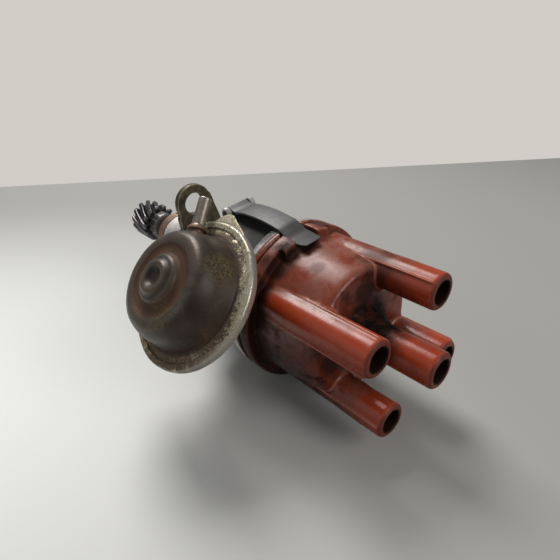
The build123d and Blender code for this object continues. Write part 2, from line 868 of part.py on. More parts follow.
# ---- distributor cap ----
with BuildPart() as distributor_cap:
    with BuildSketch(Plane.XY):
        outline(
            (rim_x, 0),
            (rim_x, collar_r),
            (collar_top, collar_r),
            (collar_top, dome_base_r),
            (dome_top, dome_top_r),
            (dome_top, 0),
        )
    revolve(axis=Axis.X)
    fillet(distributor_cap.edges().filter_by(GeomType.CIRCLE).group_by(Axis.X)[-1], dome_round)
    with BuildSketch(Plane.XY):
        outline(
            (roof_x, 0),
            (roof_x, cone_base_r),
            (dome_top, cone_base_r),
            (dome_top + cone_length, tower_r),
            (coil_tower_top, tower_r),
            (coil_tower_top, 0),
        )
    revolve(axis=Axis.X)
    with BuildSketch(across(collar_top - guard_height, cap_turn)):
        with PolarLocations(tower_circle, 4):
            Circle(tower_r)
    extrude(amount=tower_top - collar_top + guard_height)
    rims = distributor_cap.edges().filter_by(GeomType.CIRCLE)
    chamfer(rims.filter_by_position(Axis.X, tower_top - 0.01, coil_tower_top + 0.01), tower_chamfer)
    # notches for the spring clips, each between two guards
    for turn in (clip_turn, clip_turn + 180):
        with BuildSketch(across(collar_top - guard_height, turn)):
            with Locations((collar_r, 0)):
                Rectangle(2 * guard_depth, notch_width + 2 * guard_width)
            Circle(collar_r - slack, mode=Mode.INTERSECT)
        extrude(amount=2 * guard_height)
        with BuildSketch(across(rim_x, turn, notch_r)):
            Rectangle(guard_depth, notch_width, align=(Align.MIN, Align.CENTER))
        extrude(amount=collar_length + guard_height, mode=Mode.SUBTRACT)
    # inside of the cap
    with BuildSketch(Plane.XY):
        outline(
            (rim_x, 0),
            (rim_x, spigot_r + loose),
            (ledge_x, spigot_r + loose),
            (ledge_x, dome_base_r - cap_wall),
            (roof_x, dome_top_r - cap_wall),
            (roof_x, 0),
        )
    revolve(axis=Axis.X, mode=Mode.SUBTRACT)
    with BuildSketch(across(coil_boss_x, cap_turn)):
        Circle(coil_boss_r)
        with PolarLocations(tower_circle, 4):
            Circle(terminal_boss_r)
    extrude(amount=roof_x - coil_boss_x)
    # bores of the towers and the pockets of the moulded-in terminals
    with BuildSketch(across(bore_floor, cap_turn)):
        with PolarLocations(tower_circle, 4):
            Circle(tower_bore_r)
    extrude(amount=tower_bore_depth, mode=Mode.SUBTRACT)
    with BuildSketch(across(terminal_start, cap_turn)):
        with PolarLocations(tower_circle, 4):
            Circle(terminal_r)
    extrude(amount=bore_floor - terminal_start, mode=Mode.SUBTRACT)
    with BuildSketch(across(bore_floor - terminal_head, cap_turn)):
        with PolarLocations(tower_circle, 4):
            Circle(terminal_head_r)
    extrude(amount=terminal_head, mode=Mode.SUBTRACT)
    with BuildSketch(Plane.XY):
        band(coil_bore_floor, coil_tower_top, 0, tower_bore_r)
        band(coil_head_start, coil_bore_floor, 0, terminal_head_r)
        band(coil_boss_x, coil_head_start, 0, terminal_r)
    revolve(axis=Axis.X, mode=Mode.SUBTRACT)
    # groove round the collar
    with BuildSketch(Plane.XY):
        band(groove_x, groove_x + collar_groove, collar_r - groove_depth, collar_r + 1)
    revolve(axis=Axis.X, mode=Mode.SUBTRACT)
distributor_cap.part.label = "distributor_cap"
save(distributor_cap.part)

with BuildPart() as plug_terminals:
    with BuildSketch(across(terminal_start, cap_turn)):
        with PolarLocations(tower_circle, 4):
            Circle(terminal_r)
    extrude(amount=bore_floor - terminal_head - terminal_start)
    with BuildSketch(across(bore_floor - terminal_head, cap_turn)):
        with PolarLocations(tower_circle, 4):
            Circle(terminal_head_r)
            Circle(terminal_hole_r, mode=Mode.SUBTRACT)
    extrude(amount=terminal_head)
plug_terminals.part.label = "plug_terminals"
save(plug_terminals.part)

guide_top = coil_boss_x + brush_guide
with BuildPart() as coil_terminal:
    with BuildSketch(Plane.XY):
        band(coil_boss_x, coil_head_start, 0, terminal_r)
        band(coil_head_start, coil_bore_floor, 0, terminal_head_r)
    revolve(axis=Axis.X)
    with BuildSketch(Plane.XY):
        band(coil_boss_x, guide_top, 0, brush_r + loose)
        band(coil_head_start, coil_bore_floor, 0, terminal_hole_r)
    revolve(axis=Axis.X, mode=Mode.SUBTRACT)
coil_terminal.part.label = "coil_terminal"
save(coil_terminal.part)

brush_x = blade_x + blade_thickness + thrust_gap
brush_end = brush_x + brush_length
save(tube("carbon_brush", (brush_x, brush_end, 0, brush_r)))
brush_back = Vector(brush_end + thrust_gap, 0, 0)
guide_end = Vector(guide_top - thrust_gap, 0, 0)
save(coil_spring("brush_spring", brush_back, guide_end, brush_spring_r, brush_wire_r, brush_spring_turns))

# ---- vacuum unit, turned about the line of its rod ----
unit_plane = lengthwise(vacuum_turn, vacuum_offset)
unit_axis = Axis(facing(vacuum_x, vacuum_turn, 0, vacuum_offset).origin, direction(vacuum_turn))
rim_in = vacuum_rim_out - crimp_thickness
foot_out = pad_out + foot_plate
face_out = vacuum_rim_out + cup_depth
boss_out = face_out + boss_height
dish_r = vacuum_rim_r - crimp_lip
disc_out = vacuum_rim_out - cup_sheet - diaphragm_sheet
hub_in = disc_out - diaphragm_dip
hub_out = hub_in + diaphragm_sheet


def unit_outline(*points):
    """Half section of the vacuum unit: radius from its own axis, then distance out from the shaft."""
    outline(*((vacuum_x + radius, out) for radius, out in points))


unit_side = direction(vacuum_turn + 90)
nipple_way = Vector(1, 0, 0) * cos(radians(nipple_turn)) + unit_side * sin(radians(nipple_turn))
nipple_root = facing(vacuum_x, vacuum_turn, vacuum_rim_out + nipple_out, vacuum_offset).origin
nipple_plane = Plane(origin=nipple_root, x_dir=direction(vacuum_turn), z_dir=nipple_way)
nipple_start = cup_r - 2 * cup_sheet

with BuildPart() as vacuum_cup:
    with BuildSketch(unit_plane):
        unit_outline(
            (0, boss_out),
            (boss_top_r - 0.8, boss_out),
            (boss_top_r, boss_out - 0.6),
            (boss_top_r + 0.6, boss_out - 1.6),
            (boss_r, face_out),
            (cup_face_r, face_out),
            (cup_r - 4.4, face_out - 1.3),
            (cup_r - 2.2, face_out - 3.8),
            (cup_r - 1.0, face_out - 7.4),
            (cup_r, vacuum_rim_out + cup_sheet),
            (dish_r, vacuum_rim_out),
            (dish_r, vacuum_rim_out - cup_sheet),
            (cup_r - cup_sheet, vacuum_rim_out - cup_sheet),
            (cup_r - 2.2, face_out - 7.4),
            (cup_r - 3.4, face_out - 4.4),
            (cup_face_r - 0.6, face_out - cup_sheet),
            (boss_r - 0.8, face_out - cup_sheet),
            (boss_top_r - 0.6, boss_out - dimple_depth - cup_sheet),
            (0, boss_out - dimple_depth - cup_sheet),
        )
    revolve(axis=unit_axis)
    with BuildSketch(unit_plane):
        unit_outline(
            (0, boss_out - dimple_depth),
            (dimple_r - dimple_depth / 2, boss_out - dimple_depth),
            (dimple_r, boss_out + 0.1),
            (0, boss_out + 0.1),
        )
    revolve(axis=unit_axis, mode=Mode.SUBTRACT)
    with BuildSketch(nipple_plane):
        Circle(nipple_r)
    extrude(amount=vacuum_rim_r, mode=Mode.SUBTRACT)
vacuum_cup.part.label = "vacuum_cup"
save(vacuum_cup.part)

with BuildPart() as vacuum_nipple:
    with BuildSketch(nipple_plane.offset(nipple_start)):
        Circle(nipple_r)
        Circle(nipple_bore_r, mode=Mode.SUBTRACT)
    extrude(amount=nipple_reach - nipple_start)
    with BuildSketch(nipple_plane.offset(cup_r + running)):
        Circle(nipple_r + nipple_collar)
        Circle(nipple_bore_r, mode=Mode.SUBTRACT)
    extrude(amount=nipple_collar)
vacuum_nipple.part.label = "vacuum_nipple"
save(vacuum_nipple.part)

with BuildPart() as vacuum_base:
    with BuildSketch(unit_plane):
        unit_outline(
            (neck_bore_r, foot_out - 0.5),
            (neck_bore_r + 1.4, foot_out - 0.5),
            (neck_bore_r + 2.0, foot_out + 2.4),
            (20.0, foot_out + 4.6),
            (dish_r - 2.4, rim_in - 0.8),
            (vacuum_rim_r - 0.6, rim_in),
            (vacuum_rim_r, rim_in + 0.8),
            (vacuum_rim_r, vacuum_rim_out),
            (vacuum_rim_r - 0.8, vacuum_rim_out + 0.8),
            (dish_r - 1.0, vacuum_rim_out + 0.8),
            (dish_r - 1.0, vacuum_rim_out + 0.3),
            (dish_r, vacuum_rim_out),
            (dish_r, disc_out),
            (dish_r - 3.0, disc_out),
            (dish_r - 4.4, disc_out - 1.8),
            (19.6, foot_out + 5.8),
            (neck_bore_r + 0.6, foot_out + 3.6),
        )
    revolve(axis=unit_axis)
    with BuildSketch(pad_plane):
        Rectangle(foot_long, foot_wide)
        with GridLocations(1, foot_screw_span, 1, 2):
            Circle(screw_r + loose, mode=Mode.SUBTRACT)
    extrude(amount=foot_plate)
    with BuildSketch(rod_slot_plane):
        Rectangle(rod_slot_length, rod_slot_width)
    extrude(amount=foot_out + 0.1, mode=Mode.SUBTRACT)
    with BuildSketch(facing(vacuum_x, vacuum_turn, rim_in + 0.8, vacuum_offset)):
        with PolarLocations(vacuum_rim_r - 1, 1, start_angle=ear_turn):
            Rectangle(ear_reach + 1, ear_width, align=(Align.MIN, Align.CENTER))
    extrude(amount=cup_sheet)
vacuum_base.part.label = "vacuum_base"
save(vacuum_base.part)

with BuildPart() as vacuum_screws:
    with BuildSketch(pad_plane.offset(-foot_screw_depth)):
        with GridLocations(1, foot_screw_span, 1, 2):
            Circle(screw_r)
    extrude(amount=foot_screw_depth + foot_plate)
    with BuildSketch(pad_plane.offset(foot_plate)):
        with GridLocations(1, foot_screw_span, 1, 2):
            Circle(1.7 * screw_r)
    extrude(amount=screw_head)
vacuum_screws.part.label = "vacuum_screws"
save(vacuum_screws.part)

with BuildPart() as diaphragm:
    with BuildSketch(unit_plane):
        unit_outline(
            (rivet_r, hub_in),
            (backing_r + 2, hub_in),
            (dish_r - 10, disc_out),
            (dish_r, disc_out),
            (dish_r, disc_out + diaphragm_sheet),
            (dish_r - 10.4, disc_out + diaphragm_sheet),
            (backing_r + 1.6, hub_out),
            (rivet_r, hub_out),
        )
    revolve(axis=unit_axis)
diaphragm.part.label = "diaphragm"
save(diaphragm.part)

# pull rod: a flat strip from the post on the breaker plate, riveted to the diaphragm
with BuildPart() as pull_rod:
    with BuildSketch(unit_plane):
        with BuildLine():
            Polyline(
                (rod_x + rod_thickness / 2, -rod_width),
                (rod_x + rod_thickness / 2, rod_jog_start),
                (vacuum_x, rod_jog_end),
                (vacuum_x, hub_in),
            )
        trace(line_width=rod_thickness)
    extrude(amount=rod_width / 2, both=True)
    with BuildSketch(across(rod_x, rod_post_turn, vacuum_offset)):
        Circle(rod_post_r + loose)
    extrude(amount=rod_thickness, mode=Mode.SUBTRACT)
    with BuildSketch(unit_plane):
        unit_outline(
            (0, hub_in - backing_sheet),
            (backing_r, hub_in - backing_sheet),
            (backing_r, hub_in),
            (rivet_r, hub_in),
            (rivet_r, hub_out),
            (backing_r, hub_out),
            (backing_r, hub_out + backing_sheet),
            (0, hub_out + backing_sheet),
        )
    revolve(axis=unit_axis)
pull_rod.part.label = "pull_rod"
save(pull_rod.part)

spring_foot = facing(vacuum_x, vacuum_turn, hub_out + backing_sheet + thrust_gap, vacuum_offset).origin
spring_seat = facing(vacuum_x, vacuum_turn, face_out - cup_sheet - thrust_gap, vacuum_offset).origin
save(
    coil_spring(
        "diaphragm_spring", spring_foot, spring_seat, vacuum_spring_r, vacuum_wire_r, vacuum_spring_turns
    )
)

with BuildPart() as clip_pins:
    for turn in (clip_turn, clip_turn + 180):
        with BuildSketch(lengthwise(turn)):
            with Locations(clip_pivot):
                Circle(clip_pin_r)
        extrude(amount=clip_width / 2 + slack + lug_thickness + slack, both=True)
clip_pins.part.label = "clip_pins"
save(clip_pins.part)


def spring_clip(label, turn):
    """Bent strip with an eye round its pin, resting in the notch of the cap's collar."""
    with BuildPart() as clip:
        with BuildSketch(lengthwise(turn)):
            with BuildLine():
                Spline((clip_pivot[0] + 1.0, clip_pivot[1] + clip_eye_r - clip_thickness / 2), *clip_path)
            trace(line_width=clip_thickness)
            with Locations(clip_pivot):
                Circle(clip_eye_r)
                Circle(clip_pin_r + running, mode=Mode.SUBTRACT)
        extrude(amount=clip_width / 2, both=True)
    clip.part.label = label
    return clip.part


save(spring_clip("spring_clip_1", clip_turn))
save(spring_clip("spring_clip_2", clip_turn + 180))

# ---- hold-down clamp: a fork round the neck, with a round eye for the stud ----
with BuildPart() as hold_down_clamp:
    with BuildSketch(across(0, clamp_turn)):
        Circle(clamp_ring_r)
        outline(*clamp_web)
        with Locations((clamp_eye_out, 0)):
            Circle(clamp_eye_r)
        Polygon(*clamp_mouth, align=None, mode=Mode.SUBTRACT)
        Circle(neck_r + slack, mode=Mode.SUBTRACT)
        with Locations((clamp_eye_out, 0)):
            Circle(clamp_hole_r, mode=Mode.SUBTRACT)
    extrude(amount=clamp_thickness)
hold_down_clamp.part.label = "hold_down_clamp"
save(hold_down_clamp.part)
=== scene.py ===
import bmesh
import bpy
import math
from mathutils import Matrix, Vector, noise


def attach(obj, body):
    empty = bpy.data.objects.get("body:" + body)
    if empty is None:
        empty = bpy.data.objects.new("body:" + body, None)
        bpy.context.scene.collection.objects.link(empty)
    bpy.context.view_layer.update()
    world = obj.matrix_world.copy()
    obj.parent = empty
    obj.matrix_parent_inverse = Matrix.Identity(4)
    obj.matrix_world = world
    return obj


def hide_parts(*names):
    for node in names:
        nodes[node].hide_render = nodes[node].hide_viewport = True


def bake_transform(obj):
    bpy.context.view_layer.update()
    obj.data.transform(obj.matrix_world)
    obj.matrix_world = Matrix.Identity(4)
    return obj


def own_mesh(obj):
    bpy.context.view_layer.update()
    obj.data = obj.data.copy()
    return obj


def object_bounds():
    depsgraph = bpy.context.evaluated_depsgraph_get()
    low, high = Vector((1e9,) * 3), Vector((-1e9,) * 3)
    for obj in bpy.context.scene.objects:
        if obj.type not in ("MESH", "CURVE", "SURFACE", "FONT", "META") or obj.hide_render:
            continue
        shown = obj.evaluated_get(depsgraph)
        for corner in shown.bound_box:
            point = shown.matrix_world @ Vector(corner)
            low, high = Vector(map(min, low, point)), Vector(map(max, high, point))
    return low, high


# An ignition distributor lying on its side. The shaft runs along X, the cap points to +X.
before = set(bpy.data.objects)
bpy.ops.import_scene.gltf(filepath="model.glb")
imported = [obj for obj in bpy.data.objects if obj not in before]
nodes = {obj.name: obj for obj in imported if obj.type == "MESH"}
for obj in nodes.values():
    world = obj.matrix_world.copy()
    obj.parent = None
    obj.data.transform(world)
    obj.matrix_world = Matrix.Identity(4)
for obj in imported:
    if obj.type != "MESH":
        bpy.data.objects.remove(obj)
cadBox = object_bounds()
print("frame loaded:", len(nodes), "nodes")

mm = 0.001


def turned(angle):
    return Vector((0, math.cos(math.radians(angle)), math.sin(math.radians(angle))))


# camera, floor and light
camera = {"place": (0.2473, -0.1441, 0.1147), "look": (-0.668, 0.590, -0.453), "lens": 29.57}
room = {
    "floor": (0.36, 0.355, 0.335), "paintedReflection": (0.86, 0.87, 0.85),
    "shade": (0.20, 0.20, 0.19), "wall": (0.64, 0.605, 0.565),
    # a pale pool of painted reflection lies round one spot of the floor, fading to the darker floor tone
    "paintedReflectionMiddle": (-0.02, -0.20), "paintedReflectionReach": 0.36,
    "wallLine": ((-0.4185, -0.0305), (-0.0141, 0.6842)), "lowest": cadBox[0][2],
}
lampAim = Vector((0.08, 0, 0))
lamps = {
    "back window": {"place": (-0.50, 0.15, 0.90), "size": 0.50, "power": 10.2, "tint": (1.0, 0.985, 0.96)},
    "left fill": {"place": (-0.15, -0.95, 0.45), "size": 0.8, "power": 1.1, "tint": (0.96, 0.98, 1.0)},
    "right fill": {"place": (0.95, 0.20, 0.50), "size": 0.5, "power": 3.6, "tint": (1.0, 0.98, 0.96)},
}

scene = bpy.context.scene
scene.view_settings.view_transform = "Standard"
eye = bpy.data.objects.new("camera", bpy.data.cameras.new("camera"))
eye.data.lens = camera["lens"]
eye.data.sensor_width = 36.0
eye.data.clip_start = 0.01
eye.location = camera["place"]
eye.rotation_euler = Vector(camera["look"]).to_track_quat("-Z", "Y").to_euler()
scene.collection.objects.link(eye)
scene.camera = eye

for name, lamp in lamps.items():
    light = bpy.data.lights.new(name, "AREA")
    light.shape = "SQUARE"
    light.size = lamp["size"]
    light.energy = lamp["power"]
    light.color = lamp["tint"]
    holder = bpy.data.objects.new(name, light)
    holder.location = lamp["place"]
    holder.rotation_euler = (lampAim - holder.location).to_track_quat("-Z", "Y").to_euler()
    scene.collection.objects.link(holder)

# the camera sees a pale wall; the object gets a plain soft light
world = bpy.data.worlds.new("room")
world.use_nodes = True
worldTree = world.node_tree
soft = worldTree.nodes["Background"]
soft.inputs["Color"].default_value = (0.87, 0.88, 0.90, 1)
soft.inputs["Strength"].default_value = 0.26
seen = worldTree.nodes.new("ShaderNodeBackground")
seen.inputs["Color"].default_value = (*room["wall"], 1)
rays = worldTree.nodes.new("ShaderNodeLightPath")
pick = worldTree.nodes.new("ShaderNodeMixShader")
worldTree.links.new(rays.outputs["Is Camera Ray"], pick.inputs[0])
worldTree.links.new(soft.outputs[0], pick.inputs[1])
worldTree.links.new(seen.outputs[0], pick.inputs[2])
worldTree.links.new(pick.outputs[0], worldTree.nodes["World Output"].inputs["Surface"])
scene.world = world


# small helpers for shader trees
def shader(name):
    material = bpy.data.materials.new(name)
    material.use_nodes = True
    return material, material.node_tree, material.node_tree.nodes["Principled BSDF"]


def feed(tree, socket, value):
    if hasattr(value, "is_output"):
        tree.links.new(value, socket)
    elif isinstance(value, (tuple, list)) and len(value) == 3 and socket.type == "RGBA":
        socket.default_value = (*value, 1)
    else:
        socket.default_value = value


def maths(tree, operation, first, second=0.0):
    step = tree.nodes.new("ShaderNodeMath")
    step.operation = operation
    feed(tree, step.inputs[0], first)
    feed(tree, step.inputs[1], second)
    return step.outputs[0]


def times(tree, first, second):
    return maths(tree, "MULTIPLY", first, second)


def plus(tree, first, second):
    return maths(tree, "ADD", first, second)


def minus(tree, first, second):
    return maths(tree, "SUBTRACT", first, second)


def larger(tree, first, second):
    return maths(tree, "MAXIMUM", first, second)


def between(tree, value, low, high, start=0.0, end=1.0):
    step = tree.nodes.new("ShaderNodeMapRange")
    step.interpolation_type = "SMOOTHSTEP"
    for socket, amount in zip(step.inputs, (value, low, high, start, end)):
        feed(tree, socket, amount)
    return step.outputs[0]


def blendColour(tree, share, first, second, way="MIX"):
    step = tree.nodes.new("ShaderNodeMix")
    step.data_type = "RGBA"
    step.blend_type = way
    feed(tree, step.inputs["Factor"], share)
    feed(tree, step.inputs[6], first)
    feed(tree, step.inputs[7], second)
    return step.outputs[2]


def position(tree):
    source = tree.nodes.new("ShaderNodeTexCoord")
    split = tree.nodes.new("ShaderNodeSeparateXYZ")
    tree.links.new(source.outputs["Object"], split.inputs[0])
    return source.outputs["Object"], split.outputs


def facingUp(tree):
    source = tree.nodes.new("ShaderNodeTexCoord")
    split = tree.nodes.new("ShaderNodeSeparateXYZ")
    tree.links.new(source.outputs["Normal"], split.inputs[0])
    return split.outputs[2]


def cloud(tree, where, scale, detail=5.0, rough=0.6, warp=0.0):
    step = tree.nodes.new("ShaderNodeTexNoise")
    feed(tree, step.inputs["Vector"], where)
    step.inputs["Scale"].default_value = scale
    step.inputs["Detail"].default_value = detail
    step.inputs["Roughness"].default_value = rough
    step.inputs["Distortion"].default_value = warp
    return step.outputs["Fac"]


def stretched(tree, where, scale):
    step = tree.nodes.new("ShaderNodeMapping")
    feed(tree, step.inputs["Vector"], where)
    step.inputs["Scale"].default_value = scale
    return step.outputs[0]


def edges(tree, low=0.50, high=0.56):
    step = tree.nodes.new("ShaderNodeNewGeometry")
    return between(tree, step.outputs["Pointiness"], low, high)


def relief(tree, principled, height, strength, distance):
    step = tree.nodes.new("ShaderNodeBump")
    step.inputs["Strength"].default_value = strength
    step.inputs["Distance"].default_value = distance
    feed(tree, step.inputs["Height"], height)
    tree.links.new(step.outputs[0], principled.inputs["Normal"])


def around(along, radius, angle):
    return Vector((along, 0, 0)) + turned(angle) * radius


# share of a spot round a place inside the part: 1 at the middle, 0 at the edge of the reach
def spotShare(tree, where, middle, reach, ragged):
    apart = tree.nodes.new("ShaderNodeVectorMath")
    apart.operation = "DISTANCE"
    feed(tree, apart.inputs[0], where)
    apart.inputs[1].default_value = middle
    loose = plus(tree, apart.outputs["Value"], times(tree, minus(tree, ragged, 0.5), reach))
    return between(tree, loose, reach, reach * 0.45)


# one recipe for worn metal and plastic: two tones, dirt in patches, spots of painted shade, pale spots that
# are partly painted highlight, specks, and edges that are polished on most finishes
def agedFinish(name, recipe):
    material, tree, principled = shader(name)
    where, parts = position(tree)
    patches = cloud(tree, where, recipe.get("patchScale", 60), 6, 0.62)
    fine = cloud(tree, where, recipe.get("fineScale", 900), 4, 0.6)
    streaks = cloud(
        tree, stretched(tree, where, recipe.get("streak", (1, 1, 1))), recipe.get("streakScale", 300), 3, 0.5
    )
    tone = blendColour(tree, between(tree, streaks, 0.35, 0.65), recipe["colour"], recipe["second"])
    bright = 0.0
    cleanShare = 1.0 - recipe.get("dirtShare", 0.45)
    dirtAndShade = between(tree, patches, cleanShare - 0.12, cleanShare + 0.12)
    tone = blendColour(tree, dirtAndShade, tone, recipe["dirtAndShade"])
    # spots of painted shade, darkened towards the dirt tone
    for middle, reach, depth in recipe.get("shadeSpots", ()):
        spot = times(tree, spotShare(tree, where, middle, reach, patches), depth)
        tone = blendColour(tree, spot, tone, recipe["dirtAndShade"])
        dirtAndShade = larger(tree, dirtAndShade, spot)
    # pale spots, partly pale metal and partly painted highlight, also made less metallic
    for middle, reach, depth in recipe.get("paleMetalAndHighlights", ()):
        spot = times(tree, spotShare(tree, where, middle, reach, patches), depth)
        tone = blendColour(tree, spot, tone, recipe["paleMetalAndHighlightTone"])
        dirtAndShade = times(tree, dirtAndShade, minus(tree, 1.0, spot))
        bright = larger(tree, bright, spot)
    specks = between(tree, fine, 0.62, 0.70)
    specks = times(tree, specks, recipe.get("speckShare", 0.4))
    tone = blendColour(tree, specks, tone, recipe.get("speck", recipe["dirtAndShade"]))
    # edges: polished wear on most finishes, painted shade on the clip steel, painted highlight on the clamp
    # plating
    worn = times(tree, edges(tree), recipe.get("edgeShare", 0.5))
    tone = blendColour(tree, worn, tone, recipe.get("edge", recipe["second"]))
    feed(tree, principled.inputs["Base Color"], tone)
    rough = between(tree, dirtAndShade, 0, 1, recipe["rough"], recipe.get("dirtRough", 0.75))
    rough = plus(tree, rough, times(tree, minus(tree, fine, 0.5), 0.25))
    feed(tree, principled.inputs["Roughness"], rough)
    metal = recipe.get("metal", 0.0)
    if metal:
        shine = between(tree, larger(tree, dirtAndShade, specks), 0, 1, metal, recipe.get("dirtMetal", metal * 0.25))
        shine = times(tree, shine, minus(tree, 1.0, times(tree, bright, 0.7)))
        feed(tree, principled.inputs["Metallic"], shine)
    height = plus(tree, times(tree, fine, 0.5), times(tree, patches, 1.0))
    relief(tree, principled, height, recipe.get("bump", 0.3), recipe.get("depth", 0.0002))
    return material


finishes = {
    "cast aluminium": {"colour": (0.44, 0.42, 0.42), "second": (0.34, 0.32, 0.31),
                       "dirtAndShade": (0.020, 0.017, 0.015),
                       "dirtShare": 0.40, "patchScale": 60, "fineScale": 1400, "rough": 0.50, "metal": 0.55,
                       "dirtMetal": 0.05, "edge": (0.62, 0.60, 0.58), "bump": 0.45,
                       # painted shade: dark spots under and beside the clip, where the clip shades the
                       # housing
                       "shadeSpots": ((around(0.072, 0.040, 104), 0.016, 0.97),
                                   (around(0.086, 0.040, 108), 0.016, 0.97),
                                   (around(0.094, 0.041, 100), 0.009, 0.80),
                                   (around(0.080, 0.038, 128), 0.016, 0.75)),
                       # pale spots: pale metal round the shank, and two spots low on the rim that are a
                       # painted highlight
                       "paleMetalAndHighlightTone": (0.86, 0.80, 0.76),
                       "paleMetalAndHighlights": ((around(-0.034, 0, 0), 0.040, 0.95),
                                  (around(0.092, 0.040, 205), 0.016, 0.8),
                                  (around(0.092, 0.040, 225), 0.016, 0.8))},
    "bright pilot": {"colour": (0.72, 0.69, 0.64), "second": (0.62, 0.58, 0.52), "dirtAndShade": (0.30, 0.20, 0.12),
                     "dirtShare": 0.30, "rough": 0.3, "metal": 0.9, "streak": (1, 12, 12), "bump": 0.1},
    "ground steel": {"colour": (0.50, 0.49, 0.47), "second": (0.38, 0.37, 0.35), "dirtAndShade": (0.10, 0.075, 0.055),
                     "dirtShare": 0.35, "rough": 0.3, "metal": 1.0, "streak": (1, 14, 14), "bump": 0.15},
    "oily gear steel": {"colour": (0.085, 0.078, 0.078), "second": (0.050, 0.045, 0.045),
                        "dirtAndShade": (0.018, 0.015, 0.014),
                        "dirtShare": 0.45, "rough": 0.30, "metal": 0.9, "dirtMetal": 0.6, "dirtRough": 0.42,
                        "edge": (0.26, 0.25, 0.25), "edgeShare": 0.6, "bump": 0.25},
    "clip steel": {"colour": (0.120, 0.120, 0.118), "second": (0.095, 0.094, 0.092),
                   "dirtAndShade": (0.022, 0.021, 0.020),
                   "dirtShare": 0.30, "rough": 0.52, "metal": 0.35, "dirtRough": 0.60, "dirtMetal": 0.15,
                   # painted shade: the clip's edges are painted darker, and its tips are darkened where they
                   # sit against the cap
                   "edge": (0.035, 0.034, 0.033), "edgeShare": 0.7, "bump": 0.12,
                   "shadeSpots": ((around(0.110, 0.037, 100), 0.017, 0.85),
                               (around(0.110, 0.037, 280), 0.017, 0.85))},
    "sooty steel": {"colour": (0.045, 0.042, 0.040), "second": (0.030, 0.028, 0.026),
                    "dirtAndShade": (0.020, 0.018, 0.016),
                    "rough": 0.72, "metal": 0.1, "bump": 0.3},
    "rusty collar": {"colour": (0.25, 0.145, 0.095), "second": (0.17, 0.095, 0.062),
                     "dirtAndShade": (0.06, 0.035, 0.025),
                     "dirtShare": 0.40, "rough": 0.5, "metal": 0.5, "edge": (0.45, 0.30, 0.18), "bump": 0.4},
    "spring steel": {"colour": (0.130, 0.128, 0.124), "second": (0.100, 0.098, 0.096),
                     "dirtAndShade": (0.035, 0.032, 0.030),
                     "dirtShare": 0.32, "rough": 0.55, "metal": 0.35, "dirtRough": 0.65, "dirtMetal": 0.2,
                     "edge": (0.20, 0.20, 0.20), "edgeShare": 0.5, "bump": 0.12},
    "clamp plating": {"colour": (0.120, 0.098, 0.052), "second": (0.080, 0.064, 0.036),
                      "dirtAndShade": (0.022, 0.016, 0.011),
                      "dirtShare": 0.46, "patchScale": 110, "rough": 0.42, "metal": 0.55,
                      # brighter edges: painted highlight
                      "edge": (0.34, 0.29, 0.19),
                      "edgeShare": 1.0, "bump": 0.6},
    "brazed root": {"colour": (0.27, 0.155, 0.105), "second": (0.19, 0.105, 0.072),
                    "dirtAndShade": (0.06, 0.035, 0.025),
                    "rough": 0.55, "metal": 0.4, "fineScale": 2400, "bump": 0.7},
    "nipple steel": {"colour": (0.33, 0.28, 0.235), "second": (0.25, 0.21, 0.17), "dirtAndShade": (0.10, 0.065, 0.04),
                     "dirtShare": 0.32, "rough": 0.36, "metal": 0.9,
                     "edge": (0.75, 0.73, 0.70), "edgeShare": 0.9},
    "zinc plate": {"colour": (0.52, 0.50, 0.44), "second": (0.42, 0.40, 0.35), "dirtAndShade": (0.16, 0.12, 0.08),
                   "dirtShare": 0.25, "rough": 0.38, "metal": 0.85, "bump": 0.15},
    "sintered bronze": {"colour": (0.42, 0.24, 0.11), "second": (0.34, 0.19, 0.09),
                        "dirtAndShade": (0.10, 0.06, 0.03),
                        "rough": 0.45, "metal": 0.9, "fineScale": 2500},
    "brass": {"colour": (0.58, 0.40, 0.15), "second": (0.46, 0.30, 0.11), "dirtAndShade": (0.16, 0.10, 0.05),
              "dirtShare": 0.30, "rough": 0.3, "metal": 1.0, "bump": 0.1},
    "laminated board": {"colour": (0.15, 0.07, 0.035), "second": (0.11, 0.05, 0.025),
                        "dirtAndShade": (0.04, 0.025, 0.015),
                        "rough": 0.55, "streak": (1, 1, 20), "bump": 0.2},
    "rotor plastic": {"colour": (0.20, 0.045, 0.022), "second": (0.15, 0.035, 0.018),
                      "dirtAndShade": (0.05, 0.025, 0.018),
                      "dirtShare": 0.30, "rough": 0.35, "bump": 0.15},
    "carbon": {"colour": (0.03, 0.03, 0.032), "second": (0.022, 0.022, 0.024), "dirtAndShade": (0.015, 0.015, 0.015),
               "rough": 0.5, "bump": 0.2},
    "oiled felt": {"colour": (0.34, 0.28, 0.17), "second": (0.26, 0.21, 0.12), "dirtAndShade": (0.10, 0.07, 0.04),
                   "rough": 0.95, "fineScale": 3000, "bump": 0.9, "depth": 0.0004},
    "rubber cloth": {"colour": (0.035, 0.035, 0.035), "second": (0.028, 0.028, 0.028),
                     "dirtAndShade": (0.05, 0.04, 0.03),
                     "rough": 0.7, "fineScale": 2500, "bump": 0.4},
}
ready = {name: agedFinish(name, recipe) for name, recipe in finishes.items()}

